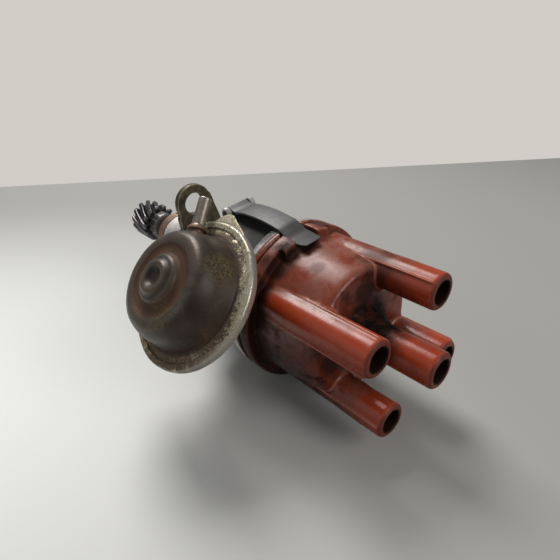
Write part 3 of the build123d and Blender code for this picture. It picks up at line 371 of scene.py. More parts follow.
finishOf = {
    "housing": "cast aluminium", "shaft_bushes": "sintered bronze", "drive_shaft": "ground steel",
    "thrust_washers": "ground steel", "thrust_collar": "rusty collar", "cross_pins": "oily gear steel",
    "drive_gear": "oily gear steel", "weight_carrier": "ground steel", "weight_1": "ground steel",
    "weight_2": "ground steel", "advance_spring_1": "spring steel", "advance_spring_2": "spring steel",
    "cam_sleeve": "ground steel", "spindle_circlip": "spring steel", "oil_felt": "oiled felt",
    "base_plate": "zinc plate", "base_plate_screws": "ground steel", "breaker_plate": "zinc plate",
    "plate_retainer": "spring steel", "fixed_contact": "ground steel", "contact_screw": "brass",
    "breaker_arm": "ground steel", "rubbing_block": "laminated board", "arm_spring": "spring steel",
    "condenser": "zinc plate", "condenser_strap": "zinc plate", "terminal_insulator": "laminated board",
    "low_tension_terminal": "brass", "dust_shield": "laminated board", "rotor_arm": "rotor plastic",
    "rotor_blade": "brass", "distributor_cap": "rotor plastic", "plug_terminals": "brass",
    "coil_terminal": "brass", "carbon_brush": "carbon", "brush_spring": "spring steel",
    "vacuum_cup": "rusty collar", "vacuum_nipple": "nipple steel", "vacuum_base": "zinc plate",
    "vacuum_screws": "ground steel", "diaphragm": "rubber cloth", "pull_rod": "zinc plate",
    "diaphragm_spring": "spring steel", "clip_pins": "sooty steel", "spring_clip_1": "clip steel",
    "spring_clip_2": "clip steel", "hold_down_clamp": "clamp plating",
}
for name, finish in finishOf.items():
    nodes[name].data.materials.clear()
    nodes[name].data.materials.append(ready[finish])
print("finishes made:", len(ready))


# the cap's moulded plastic
capShape = {
    "voxel": 0.00052, "rounds": 8, "keep": 0.55, "unevenness": 0.00014,
    "towers": (65.1, 155.1, 245.1, 335.1), "circle": 29.2, "towerRadius": 8.25,
    "blendFrom": 110.0, "blendTo": 148.0, "blendRounds": 110, "seamTurn": 71.0,
    "seamFrom": 109.0, "seamTo": 167.4, "seamWide": 1.4, "seamHigh": 0.95, "seamClear": 1.2, "blendFade": 3,
    # across and out from the tower's wall, as shares of the seam's width and height
    "seamCorners": ((-0.5, -1.5), (0.5, -1.5), (0.22, 1), (-0.22, 1)),
}

# the dust colour also gives a painted pinkish sheen; the pink colour is a painted highlight on edges and
# seams; the grime colour is dirt and also painted shade
capLook = {
    "clean": (0.34, 0.042, 0.011), "aged": (0.21, 0.036, 0.014), "brown": (0.085, 0.018, 0.010),
    "grimeAndShade": (0.009, 0.005, 0.004), "dust": (0.36, 0.18, 0.135), "highlightPink": (0.44, 0.15, 0.10),
}


# distance from the axis of one outer tower
def fromTower(tree, side, up, turn):
    middle = turned(turn) * capShape["circle"] * mm
    across = minus(tree, side, middle.y)
    height = minus(tree, up, middle.z)
    return maths(tree, "SQRT", plus(tree, times(tree, across, across), times(tree, height, height)))


# painted shade, with some dirt, in the gap by the collar, under the clip and between the towers: place, reach
# and strength
capGrimeAndShade = [
    (around(0.1085, 0.0365, 103), 0.0115, 0.97),
    (around(0.1085, 0.0365, 118), 0.0085, 0.90),
    (around(0.1080, 0.0370, 132), 0.0080, 0.85),
    (around(0.1060, 0.0400, 152), 0.0120, 0.90),
    (around(0.1060, 0.0400, 172), 0.0150, 0.92),
    (around(0.1080, 0.0390, 195), 0.0160, 0.85),
    (around(0.1040, 0.0400, 80), 0.0070, 0.80),
    (around(0.1380, 0.0290, 75), 0.0130, 0.55),
    (around(0.1430, 0.0200, 95), 0.0100, 0.80),
    (around(0.1430, 0.0200, 200), 0.0110, 0.85),
    (around(0.1250, 0.0350, 115), 0.0050, 0.35),
]


def mouldedPlastic():
    material, tree, principled = shader("moulded plastic")
    where, (along, side, up) = position(tree)
    wide = cloud(tree, where, 48, 5, 0.6)
    patch = cloud(tree, where, 120, 6, 0.66, 0.4)
    fine = cloud(tree, where, 900, 5, 0.7)
    faceUp = facingUp(tree)
    ragged = times(tree, minus(tree, wide, 0.5), 0.045)
    # clean and bright at the tower ends and along the closest tower, brown towards the collar; the brown low
    # down, on down-facing sides, is painted shade
    ends = between(tree, plus(tree, along, ragged), 0.146, 0.160)
    nearTower = fromTower(tree, side, up, capShape["towers"][1])
    nearSide = times(tree, between(tree, nearTower, 0.0094, 0.0086), between(tree, along, 0.108, 0.116))
    beside = minus(tree, times(tree, side, -0.91), times(tree, up, 0.42))
    nearSide = times(tree, nearSide, between(tree, beside, 0.0165, 0.0200))
    ends = larger(tree, ends, nearSide)
    tone = blendColour(tree, between(tree, patch, 0.30, 0.70), capLook["aged"], capLook["brown"])
    # up-facing sides lighter, down-facing sides darker brown: painted shade
    tone = blendColour(tree, between(tree, faceUp, -0.1, 0.75, 0, 0.85), tone, capLook["aged"])
    tone = blendColour(tree, ends, tone, capLook["clean"])
    tone = blendColour(tree, between(tree, patch, 0.52, 0.80, 0, 0.30), tone, capLook["clean"])
    # thin dust on what looks up, also standing in for a painted pinkish sheen
    notEnds = minus(tree, 1.0, times(tree, ends, 0.75))
    dust = times(tree, between(tree, faceUp, 0.25, 1.0), between(tree, patch, 0.36, 0.66))
    dust = times(tree, times(tree, dust, notEnds), 0.42)
    tone = blendColour(tree, dust, tone, capLook["dust"])
    # painted shade and grime: the dark low sides, centre cone, creases, tower roots, gap beside the collar
    # and the part under the clip are painted shade; the patches are dirt
    centre = maths(tree, "SQRT", plus(tree, times(tree, side, side), times(tree, up, up)))
    cone = times(
        tree, between(tree, centre, 0.020, 0.014), between(tree, plus(tree, along, ragged), 0.166, 0.152)
    )
    cone = times(tree, cone, between(tree, patch, 0.25, 0.55, 0.45, 1.0))
    low = times(
        tree, between(tree, plus(tree, up, ragged), 0.010, -0.016), between(tree, along, 0.150, 0.115)
    )
    low = times(tree, low, between(tree, patch, 0.25, 0.60, 0.55, 0.92))
    patches = times(tree, between(tree, plus(tree, patch, times(tree, wide, 0.6)), 0.80, 1.0), 0.75)
    patches = times(tree, patches, times(tree, notEnds, between(tree, faceUp, 0.2, 0.8, 1.0, 0.35)))
    matt = larger(tree, cone, patches)
    for middle, reach, depth in capGrimeAndShade:
        spot = times(tree, spotShare(tree, where, middle, reach, patch), depth)
        matt = larger(tree, matt, spot)
    matt = larger(tree, matt, times(tree, edges(tree, 0.495, 0.462), 0.75))
    sootAndShade = larger(tree, matt, low)
    # sockets, darkened inside as painted shade, and the worn faces round them
    socket = between(tree, centre, 0.0061, 0.0056)
    seam = 0.0
    for turn in capShape["towers"]:
        apart = fromTower(tree, side, up, turn)
        socket = larger(tree, socket, between(tree, apart, 0.0061, 0.0056))
        ridge = times(tree, between(tree, apart, 0.0084, 0.0087), between(tree, apart, 0.0096, 0.0091))
        seam = larger(tree, seam, ridge)
    shown = times(tree, between(tree, along, 0.111, 0.118), between(tree, patch, 0.30, 0.60, 0.2, 0.6))
    seam = times(tree, seam, shown)
    socket = times(tree, socket, between(tree, along, 0.140, 0.146))
    outer = times(tree, between(tree, along, 0.1678, 0.1685), between(tree, centre, 0.018, 0.020))
    outer = larger(tree, outer, between(tree, along, 0.1793, 0.1800))
    outer = times(tree, outer, between(tree, patch, 0.25, 0.55, 0.35, 0.85))
    tone = blendColour(tree, sootAndShade, tone, capLook["grimeAndShade"])
    # pale pink on convex edges and along the mould seams: painted highlight
    tone = blendColour(tree, times(tree, edges(tree, 0.512, 0.56), 0.45), tone, capLook["highlightPink"])
    tone = blendColour(tree, seam, tone, capLook["highlightPink"])
    tone = blendColour(tree, outer, tone, capLook["brown"])
    tone = blendColour(tree, times(tree, socket, 0.97), tone, capLook["grimeAndShade"])
    feed(tree, principled.inputs["Base Color"], tone)
    rough = plus(tree, 0.18, times(tree, larger(tree, matt, dust), 0.32))
    rough = plus(tree, rough, times(tree, larger(tree, socket, outer), 0.35))
    rough = plus(tree, rough, times(tree, patch, 0.16))
    feed(tree, principled.inputs["Roughness"], rough)
    dull = larger(tree, matt, times(tree, socket, 0.8))
    feed(tree, principled.inputs["Specular IOR Level"], minus(tree, 0.37, times(tree, dull, 0.30)))
    height = plus(tree, times(tree, fine, 0.30), patch)
    relief(tree, principled, height, 0.16, 0.0005)
    return material


# paint and rust on the vacuum can, plating and rust on its flange
canAxis = {"x": 0.0894, "turn": 140.3, "offset": 0.0218, "rimOut": 0.0551, "depth": 0.0184}
canOut = turned(canAxis["turn"])
canSide = turned(canAxis["turn"] + 90)
canFoot = Vector((canAxis["x"], 0, 0)) + canSide * canAxis["offset"]


def alongCan(tree, where):
    reach = tree.nodes.new("ShaderNodeVectorMath")
    reach.operation = "DOT_PRODUCT"
    feed(tree, reach.inputs[0], where)
    reach.inputs[1].default_value = canOut
    return reach.outputs["Value"]


def fromCanAxis(tree, where):
    shift = tree.nodes.new("ShaderNodeVectorMath")
    shift.operation = "SUBTRACT"
    feed(tree, shift.inputs[0], where)
    shift.inputs[1].default_value = canFoot
    cross = tree.nodes.new("ShaderNodeVectorMath")
    cross.operation = "CROSS_PRODUCT"
    feed(tree, cross.inputs[0], shift.outputs[0])
    cross.inputs[1].default_value = canOut
    size = tree.nodes.new("ShaderNodeVectorMath")
    size.operation = "LENGTH"
    feed(tree, size.inputs[0], cross.outputs[0])
    return size.outputs["Value"]


canLook = {
    "paint": (0.019, 0.011, 0.006), "faded": (0.056, 0.035, 0.022), "rust": (0.080, 0.034, 0.017),
    "moss": (0.135, 0.108, 0.036), "worn": (0.185, 0.150, 0.118),
    "mossy": (
        (canFoot + canOut * 0.0645 + Vector((0.0190, 0, 0)) - canSide * 0.0150, 0.0095, 1.0),
        (canFoot + canOut * 0.0730 + Vector((0.0120, 0, 0)) + canSide * 0.0110, 0.0085, 0.9),
        (canFoot + canOut * 0.0730 + Vector((-0.0060, 0, 0)) + canSide * 0.0150, 0.0075, 0.7),
    ),
}


def canPaint():
    material, tree, principled = shader("can paint")
    where, parts = position(tree)
    wide = cloud(tree, where, 60, 5, 0.6)
    patch = cloud(tree, where, 210, 6, 0.7, 0.5)
    fine = cloud(tree, where, 1500, 4, 0.65)
    radius = fromCanAxis(tree, where)
    out = alongCan(tree, where)
    tone = blendColour(tree, between(tree, wide, 0.35, 0.65), canLook["paint"], canLook["faded"])
    # rust on the flat ring of the front, and low on the side
    ring = times(tree, between(tree, radius, 0.0100, 0.0115), between(tree, radius, 0.0176, 0.0156))
    ring = times(tree, ring, between(tree, out, 0.0705, 0.0722))
    ring = times(tree, ring, between(tree, patch, 0.28, 0.50))
    tone = blendColour(tree, ring, tone, canLook["rust"])
    skirt = times(tree, between(tree, out, 0.0615, 0.0560), between(tree, patch, 0.40, 0.60))
    tone = blendColour(tree, times(tree, skirt, 0.6), tone, canLook["rust"])
    moss = times(tree, between(tree, patch, 0.52, 0.62), between(tree, wide, 0.52, 0.62))
    for middle, reach, depth in canLook["mossy"]:
        moss = larger(tree, moss, times(tree, spotShare(tree, where, middle, reach, patch), depth))
    moss = times(tree, moss, between(tree, cloud(tree, where, 1300, 4, 0.7), 0.47, 0.60))
    tone = blendColour(tree, times(tree, moss, 0.8), tone, canLook["moss"])
    # paint worn thin round the shoulder and on the boss
    shoulder = times(tree, between(tree, radius, 0.0160, 0.0174), between(tree, radius, 0.0232, 0.0208))
    shoulder = times(tree, shoulder, between(tree, out, 0.0700, 0.0722))
    shoulder = times(tree, shoulder, between(tree, wide, 0.30, 0.55, 0.25, 1.0))
    boss = times(tree, between(tree, radius, 0.0040, 0.0054), between(tree, radius, 0.0082, 0.0068))
    step = times(tree, between(tree, radius, 0.0088, 0.0098), between(tree, radius, 0.0114, 0.0106))
    boss = larger(tree, boss, times(tree, step, 0.6))
    worn = larger(tree, times(tree, shoulder, 0.55), times(tree, boss, 0.50))
    worn = times(tree, worn, between(tree, fine, 0.30, 0.60, 0.6, 1.0))
    tone = blendColour(tree, worn, tone, canLook["worn"])
    feed(tree, principled.inputs["Base Color"], tone)
    rough = minus(tree, 0.52, times(tree, worn, 0.22))
    rough = plus(tree, rough, times(tree, larger(tree, ring, moss), 0.28))
    rough = minus(tree, rough, times(tree, wide, 0.20))
    feed(tree, principled.inputs["Roughness"], rough)
    feed(tree, principled.inputs["Metallic"], times(tree, worn, 0.8))
    principled.inputs["Specular IOR Level"].default_value = 0.34
    height = plus(tree, times(tree, fine, 0.5), patch)
    relief(tree, principled, height, 0.35, 0.0003)
    return material


flangeLook = {
    "plating": (0.42, 0.35, 0.225), "pale": (0.66, 0.62, 0.50), "rust": (0.100, 0.050, 0.022),
    "dark": (0.026, 0.016, 0.010), "steel": (0.42, 0.39, 0.34),
}


def flangePlating():
    material, tree, principled = shader("flange plating")
    where, parts = position(tree)
    wide = cloud(tree, where, 45, 4, 0.55)
    patch = cloud(tree, where, 330, 6, 0.72, 0.6)
    fine = cloud(tree, where, 1700, 4, 0.7)
    radius = fromCanAxis(tree, where)
    tone = blendColour(tree, between(tree, patch, 0.40, 0.62), flangeLook["plating"], flangeLook["pale"])
    # rust gathers in the valley beside the can and breaks up towards the rolled edge
    inward = between(tree, radius, 0.0335, 0.0275)
    spots = cloud(tree, where, 620, 5, 0.75, 0.8)
    level = plus(tree, times(tree, inward, 0.15), times(tree, minus(tree, wide, 0.5), 0.35))
    rusty = plus(tree, times(tree, patch, 0.45), times(tree, spots, 0.55))
    rusty = between(tree, plus(tree, rusty, level), 0.54, 0.62)
    low = between(tree, parts[2], 0.020, -0.004)
    rusty = larger(tree, rusty, times(tree, low, between(tree, patch, 0.36, 0.52)))
    tone = blendColour(tree, times(tree, rusty, 0.9), tone, flangeLook["rust"])
    specks = plus(tree, times(tree, cloud(tree, where, 1100, 5, 0.75, 0.5), 0.75), times(tree, patch, 0.25))
    specks = times(tree, between(tree, specks, 0.525, 0.60), between(tree, radius, 0.0352, 0.0335, 0.45, 0.9))
    tone = blendColour(tree, specks, tone, flangeLook["dark"])
    groove = between(tree, radius, 0.0288, 0.0274)
    tone = blendColour(tree, times(tree, groove, 0.9), tone, flangeLook["dark"])
    rim = times(tree, between(tree, radius, 0.0334, 0.0342), between(tree, radius, 0.0352, 0.0348))
    rim = times(tree, rim, 0.75)
    tone = blendColour(tree, rim, tone, flangeLook["steel"])
    feed(tree, principled.inputs["Base Color"], tone)
    rough = plus(tree, 0.42, times(tree, rusty, 0.38))
    rough = minus(tree, rough, times(tree, rim, 0.12))
    feed(tree, principled.inputs["Roughness"], rough)
    shine = minus(tree, 0.45, times(tree, rusty, 0.4))
    feed(tree, principled.inputs["Metallic"], plus(tree, shine, times(tree, rim, 0.4)))
    height = plus(tree, times(tree, fine, 0.6), times(tree, rusty, 0.8))
    relief(tree, principled, height, 0.5, 0.0003)
    return material


capPlastic = mouldedPlastic()
canPainted = canPaint()
flangePlated = flangePlating()


# mesh helpers
def place(mesh, name, material, smooth=True):
    piece = bpy.data.objects.new(name, mesh)
    scene.collection.objects.link(piece)
    mesh.materials.clear()
    mesh.materials.append(material)
    for face in mesh.polygons:
        face.use_smooth = smooth
    return piece


def settle(piece):
    seen = bpy.context.evaluated_depsgraph_get()
    mesh = bpy.data.meshes.new_from_object(piece.evaluated_get(seen))
    piece.modifiers.clear()
    piece.data = mesh
    return piece


# a copy of a CAD node with its doubles merged
def mergedCopy(node, name, material, extra=None):
    source = bmesh.new()
    source.from_mesh(nodes[node].data)
    bmesh.ops.remove_doubles(source, verts=source.verts, dist=1e-6)
    if extra:
        extra(source)
    mesh = bpy.data.meshes.new(name)
    source.to_mesh(mesh)
    source.free()
    return place(mesh, name, material)


# a softened copy of a CAD node: voxel remesh, a little smoothing, thinned again
def softened(node, name, material, voxel, rounds, keep, extra=None):
    piece = mergedCopy(node, name, material, extra)
    remesh = piece.modifiers.new("skin", "REMESH")
    remesh.mode = "VOXEL"
    remesh.voxel_size = voxel
    remesh.use_smooth_shade = True
    smooth = piece.modifiers.new("soften", "SMOOTH")
    smooth.factor = 0.5
    smooth.iterations = rounds
    if keep < 1:
        thin = piece.modifiers.new("thin", "DECIMATE")
        thin.ratio = keep
    settle(piece)
    for face in piece.data.polygons:
        face.use_smooth = True
    return piece


# corners of a half section, each with its own rounding, as a smooth line of points
def rounded(corners, steps=6):
    line = []
    for number, (radius, out, fillet) in enumerate(corners):
        here = Vector((radius, out))
        if fillet <= 0 or number in (0, len(corners) - 1):
            line.append(here)
            continue
        before = Vector(corners[number - 1][:2])
        after = Vector(corners[number + 1][:2])
        back = before - here
        ahead = after - here
        reach = min(fillet, back.length * 0.49, ahead.length * 0.49)
        start = here + back.normalized() * reach
        end = here + ahead.normalized() * reach
        for step in range(steps + 1):
            share = step / steps
            line.append(start.lerp(here, share).lerp(here.lerp(end, share), share))
    return line


def inMetres(line):
    return [Vector((point.x * mm, point.y * mm)) for point in line]


# turns a closed or open half section about an axis
def turnedMesh(name, line, origin, axis, steps=144, closed=True):
    axis = Vector(axis).normalized()
    side = axis.orthogonal().normalized()
    other = axis.cross(side)
    mesh = bpy.data.meshes.new(name)
    work = bmesh.new()
    rings = []
    for point in line:
        if point.x < 1e-7:
            rings.append([work.verts.new(origin + axis * point.y)])
            continue
        ring = []
        for step in range(steps):
            angle = 2 * math.pi * step / steps
            spoke = side * math.cos(angle) + other * math.sin(angle)
            ring.append(work.verts.new(origin + axis * point.y + spoke * point.x))
        rings.append(ring)
    count = len(rings)
    for number in range(count if closed else count - 1):
        first, second = rings[number], rings[(number + 1) % count]
        if len(first) == 1 and len(second) == 1:
            continue
        for step in range(steps):
            after = (step + 1) % steps
            corners = [
                first[step % len(first)], first[after % len(first)],
                second[after % len(second)], second[step % len(second)],
            ]
            face = []
            for corner in corners:
                if corner not in face:
                    face.append(corner)
            work.faces.new(face)
    bmesh.ops.recalc_face_normals(work, faces=work.faces)
    work.to_mesh(mesh)
    work.free()
    return mesh


# slight unevenness: every vertex moves a little along its own normal
def dent(piece, depth, scale, seed):
    mesh = piece.data
    normals = [vertex.normal.copy() for vertex in mesh.vertices]
    shift = Vector((seed, seed, seed))
    moved = []
    for vertex, normal in zip(mesh.vertices, normals):
        push = noise.noise(vertex.co * scale + shift) + 0.4 * noise.noise(vertex.co * scale * 2.3 + shift)
        moved.extend(vertex.co + normal * push * depth)
    mesh.vertices.foreach_set("co", moved)
    mesh.update()
    return piece


# cap: raised lines where the halves of the mould met, two along each tower
def mouldSeams(work):
    for turn in capShape["towers"]:
        middle = turned(turn) * capShape["circle"]
        for side in (-1, 1):
            out = turned(turn + side * capShape["seamTurn"])
            beside = turned(turn + side * capShape["seamTurn"] + 90)
            corners = []
            for x in (capShape["seamFrom"], capShape["seamTo"]):
                for wide, high in capShape["seamCorners"]:
                    spot = middle + out * (capShape["towerRadius"] + high * capShape["seamHigh"])
                    spot = spot + beside * wide * capShape["seamWide"] + Vector((x, 0, 0))
                    corners.append(work.verts.new(spot * mm))
            faces = [work.faces.new(corners[:4]), work.faces.new(list(reversed(corners[4:])))]
            for number in range(4):
                after = (number + 1) % 4
                faces.append(work.faces.new(
                    (corners[after], corners[number], corners[number + 4], corners[after + 4])
                ))
            bmesh.ops.recalc_face_normals(work, faces=faces)


# how freely a point of the cap is smoothed: fully on the dome, not at the collar, tower ends and seams
def blendShare(point):
    along = min(point.x / mm - capShape["blendFrom"], capShape["blendTo"] - point.x / mm)
    share = min(1.0, max(0.0, along / capShape["blendFade"]))
    for turn in capShape["towers"]:
        for side in (-1, 1):
            axis = turned(turn) * capShape["circle"]
            seam = (axis + turned(turn + side * capShape["seamTurn"]) * capShape["towerRadius"]) * mm
            apart = math.hypot(point.y - seam.y, point.z - seam.z) / mm
            share = min(share, max(0.0, apart - capShape["seamClear"]))
    return share


cap = softened(
    "distributor_cap", "moulded_cap", capPlastic, capShape["voxel"], capShape["rounds"], 1, mouldSeams
)
blended = cap.vertex_groups.new(name="blended")
for vertex in cap.data.vertices:
    if capShape["blendFrom"] < vertex.co.x / mm < capShape["blendTo"]:
        blended.add([vertex.index], blendShare(vertex.co), "REPLACE")
smooth = cap.modifiers.new("blend", "SMOOTH")
smooth.factor = 0.5
smooth.iterations = capShape["blendRounds"]
smooth.vertex_group = "blended"
thin = cap.modifiers.new("thin", "DECIMATE")
thin.ratio = capShape["keep"]
settle(cap)
dent(cap, capShape["unevenness"], 55.0, 3.1)
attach(cap, "cap")
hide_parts("distributor_cap")
print("cap:", len(cap.data.polygons), "faces")

# housing
housingShape = {"voxel": 0.00075, "rounds": 3, "keep": 0.5}
housing = softened(
    "housing", "cast_housing", ready["cast aluminium"],
    housingShape["voxel"], housingShape["rounds"], housingShape["keep"],
)
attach(housing, "housing")
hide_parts("housing")
print("housing:", len(housing.data.polygons), "faces")

# vacuum can
canShape = {
    "outer": (
        (0, 75.3, 0), (2.7, 75.3, 1.4), (4.6, 77.2, 1.2),
        (6.5, 77.7, 1.6), (8.3, 75.9, 1.4), (10.3, 75.3, 1.4),
        (11.4, 73.0, 1.0), (14.8, 72.6, 1.4), (17.7, 74.0, 1.8),
        (21.7, 73.0, 2.4), (24.5, 68.0, 4.4), (25.5, 62.2, 3.0),
        (26.4, 58.6, 1.6), (27.2, 55.9, 0.9), (31.9, 55.4, 0.3),
    ),
    "inner": (
        (31.9, 54.1, 0.2), (26.0, 54.1, 1.0), (25.0, 60.0, 2.0),
        (23.3, 67.4, 3.6), (20.8, 71.6, 2.4), (17.4, 72.6, 1.6),
        (14.0, 71.5, 1.0), (10.6, 71.9, 0.8), (9.6, 74.1, 0.8), (6.2, 74.8, 1.0), (0, 74.2, 0),
    ),
    "dents": 0.00018, "dishFrom": 27.2,
}
line = inMetres(rounded(canShape["outer"]) + rounded(canShape["inner"]))
can = place(turnedMesh("vacuum_can", line, canFoot, canOut, 160, closed=False), "vacuum_can", canPainted)
dent(can, canShape["dents"], 70.0, 8.4)
can.data.materials.append(flangePlated)
for face in can.data.polygons:
    if (face.center - canFoot).cross(canOut).length > canShape["dishFrom"] * mm:
        face.material_index = 1
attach(can, "housing")
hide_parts("vacuum_cup")

flangeShape = {
    "section": (
        (6.0, 39.9, 0.3), (7.4, 39.9, 0.3), (8.0, 42.8, 2.0),
        (20.0, 45.0, 4.0), (29.7, 50.9, 2.0), (33.7, 51.5, 0.7),
        (34.5, 52.4, 0.7), (34.5, 55.2, 0.7), (33.7, 56.1, 0.7),
        (31.3, 55.95, 0.3), (31.3, 55.5, 0.2), (32.1, 55.2, 0.2),
        (32.1, 53.4, 0.2), (29.1, 53.3, 0.5), (27.7, 51.6, 0.5), (19.6, 46.2, 3.0), (6.6, 43.9, 0.5),
    ),
    "ear": {
        "thick": 1.2, "out": 53.6,
        "edge": (
            (33.0, -117), (33.8, -112), (34.8, -108), (36.1, -104.5),
            (37.3, -101.5), (38.3, -98.8), (38.9, -96.2),
            (39.2, -93.8), (38.9, -91.2), (38.0, -88.5), (37.0, -85.5),
            (36.2, -81.5), (35.6, -77.5), (35.1, -73),
            (34.4, -68), (33.0, -67), *((32.6, angle) for angle in range(-77, -108, -10)),
        ),
    },
    "foot": {"x": 80.4, "long": 22.0, "wide": 25.0, "thick": 2.4, "out": 38.0, "slot": 8.0, "corner": 1.0},
    "bevel": 0.0003, "dents": 0.00015,
}


def roundedLoop(corners, steps=6):
    again = [corners[-1], *corners, corners[0]]
    return rounded(again, steps)[1:-1]


# a flat plate with rounded corners, standing on a plane that is given by its middle and two directions
def plate(work, middle, across, along, wide, long, thick, corner):
    normal = across.cross(along)
    outline = []
    for sx, sy, start in ((1, 1, 0), (-1, 1, 90), (-1, -1, 180), (1, -1, 270)):
        for step in range(5):
            angle = math.radians(start + 22.5 * step)
            x = sx * (wide / 2 - corner) + corner * math.cos(angle)
            y = sy * (long / 2 - corner) + corner * math.sin(angle)
            outline.append(middle + across * x * mm + along * y * mm)
    base = [work.verts.new(point) for point in outline]
    top = [work.verts.new(point + normal * thick * mm) for point in outline]
    work.faces.new(list(reversed(base)))
    work.faces.new(top)
    for number in range(len(base)):
        after = (number + 1) % len(base)
        work.faces.new((base[number], base[after], top[after], top[number]))


line = inMetres(roundedLoop(flangeShape["section"]))
flangeMesh = turnedMesh("vacuum_flange", line, canFoot, canOut, 160)
work = bmesh.new()
work.from_mesh(flangeMesh)
ear = flangeShape["ear"]
alongX = Vector((1, 0, 0))
base, top = [], []
for radius, angle in ear["edge"]:
    spoke = alongX * math.cos(math.radians(angle)) + canSide * math.sin(math.radians(angle))
    base.append(work.verts.new(canFoot + canOut * ear["out"] * mm + spoke * radius * mm))
    top.append(work.verts.new(canFoot + canOut * (ear["out"] + ear["thick"]) * mm + spoke * radius * mm))
work.faces.new(base)
work.faces.new(list(reversed(top)))
for number in range(len(base)):
    after = (number + 1) % len(base)
    work.faces.new((base[after], base[number], top[number], top[after]))
foot = flangeShape["foot"]
for side in (-1, 1):
    apart = canAxis["offset"] + side * (foot["wide"] + foot["slot"]) / 4 * mm
    middle = Vector((foot["x"] * mm, 0, 0)) + canOut * foot["out"] * mm + canSide * apart
    half = (foot["wide"] - foot["slot"]) / 2
    plate(work, middle, canSide, alongX, half, foot["long"], -foot["thick"], foot["corner"])
bmesh.ops.recalc_face_normals(work, faces=work.faces)
work.to_mesh(flangeMesh)
work.free()
flange = place(flangeMesh, "vacuum_flange", flangePlated)
bevel = flange.modifiers.new("edges", "BEVEL")
bevel.width = flangeShape["bevel"]
bevel.segments = 2
bevel.limit_method = "ANGLE"
bevel.angle_limit = math.radians(50)
settle(flange)
dent(flange, flangeShape["dents"], 90.0, 1.7)
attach(flange, "housing")
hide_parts("vacuum_base")

# tube for the hose, with its brazed root
nippleShape = {
    "turn": 248.0, "out": 6.0, "radius": 3.0, "bore": 1.8, "root": 24.9, "tip": 43.0,
    "brazeRadius": 4.7, "brazeFrom": 26.9, "brazeTo": 29.4, "paintTo": 29.1,
    "raggedFrom": 27.0, "raggedTo": 29.2, "ragged": 0.0005,
}
nippleTurn = math.radians(nippleShape["turn"])
nippleWay = alongX * math.cos(nippleTurn) + canSide * math.sin(nippleTurn)
nippleRoot = canFoot + canOut * (canAxis["rimOut"] + nippleShape["out"] * mm)
tube, bore, root, tip = (nippleShape[size] for size in ("radius", "bore", "root", "tip"))
section = (
    (bore, root, 0.1), (tube, root, 0.1), (tube, nippleShape["brazeFrom"], 0.2),
    (nippleShape["brazeRadius"], 27.3, 0.5), (4.3, 28.6, 0.6), (3.1, nippleShape["brazeTo"], 0.5),
    (tube, tip - 1.2, 0.5), (tube, tip, 0.5), (bore, tip, 0.4),
)
line = inMetres(roundedLoop(section, 4))
nippleMesh = turnedMesh("hose_nipple", line, nippleRoot, nippleWay, 48)
nipple = place(nippleMesh, "hose_nipple", ready["nipple steel"])
for vertex in nipple.data.vertices:
    height = (vertex.co - nippleRoot).dot(nippleWay)
    if nippleShape["raggedFrom"] < height / mm < nippleShape["raggedTo"]:
        lump = noise.noise(vertex.co * 420)
        vertex.co += nippleWay * lump * nippleShape["ragged"]
nipple.data.materials.append(ready["brazed root"])
for face in nipple.data.polygons:
    if (face.center - nippleRoot).dot(nippleWay) / mm < nippleShape["paintTo"]:
        face.material_index = 1
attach(nipple, "housing")
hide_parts("vacuum_nipple")
print("vacuum unit dressed")

# coil springs that a joint presses: each is copied with its doubles merged and put on its body
pressedSprings = {
    "diaphragm_spring": {
        "name": "vacuum_spring", "body": "housing", "joint": "vacuum_pull", "axis": canOut, "start": canFoot,
        "travel": 4.0, "slot": "spring_steel",
    },
    "brush_spring": {
        "name": "contact_spring", "body": "cap", "joint": "brush_slide", "axis": alongX, "start": Vector(),
        "travel": 2.0, "slot": "spring_steel",
    },
}
for node, spring in pressedSprings.items():
    coil = mergedCopy(node, spring["name"], ready["spring steel"])
    points = [vertex.co for vertex in coil.data.vertices]
    middle = sum(points, Vector()) / len(points)
    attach(coil, spring["body"])
    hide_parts(node)
    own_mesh(coil)

# the leaf spring, whose one end rides on the breaker arm and other end sits on the plate's lug: a merged copy
# with its place baked in
leaf = mergedCopy("arm_spring", "breaker_leaf", ready["spring steel"])
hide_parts("arm_spring")
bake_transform(leaf)
print("springs made")

# spring clips: one bent strip each, rolled round its pin
clipShape = {
    "turns": (100.0, 280.0), "pin": (59.5, 40.2), "roll": 2.05, "rollTurns": (380, 104, -15),
    "width": 12.0, "thick": 1.0, "bevel": 0.00028, "tipFrom": 0.86, "tipNarrower": 1.4, "tipThinner": 0.45,
    "path": (
        (63.5, 40.7), (69.0, 41.8), (76.0, 42.4), (84.0, 42.4),
        (90.0, 41.9), (94.5, 41.3), (97.5, 40.7), (100.5, 39.2),
        (104.0, 37.7), (107.5, 37.3), (111.0, 37.1), (114.5, 37.6),
    ),
}


def throughPoints(points, steps):
    ends = [points[0] * 2 - points[1], *points, points[-1] * 2 - points[-2]]
    line = []
    for number in range(1, len(ends) - 2):
        a, b, c, d = ends[number - 1:number + 3]
        for step in range(steps):
            t = step / steps
            square = 2 * a - 5 * b + 4 * c - d
            cube = 3 * b - a - 3 * c + d
            line.append(0.5 * (2 * b + (c - a) * t + square * t * t + cube * t ** 3))
    line.append(points[-1])
    return line


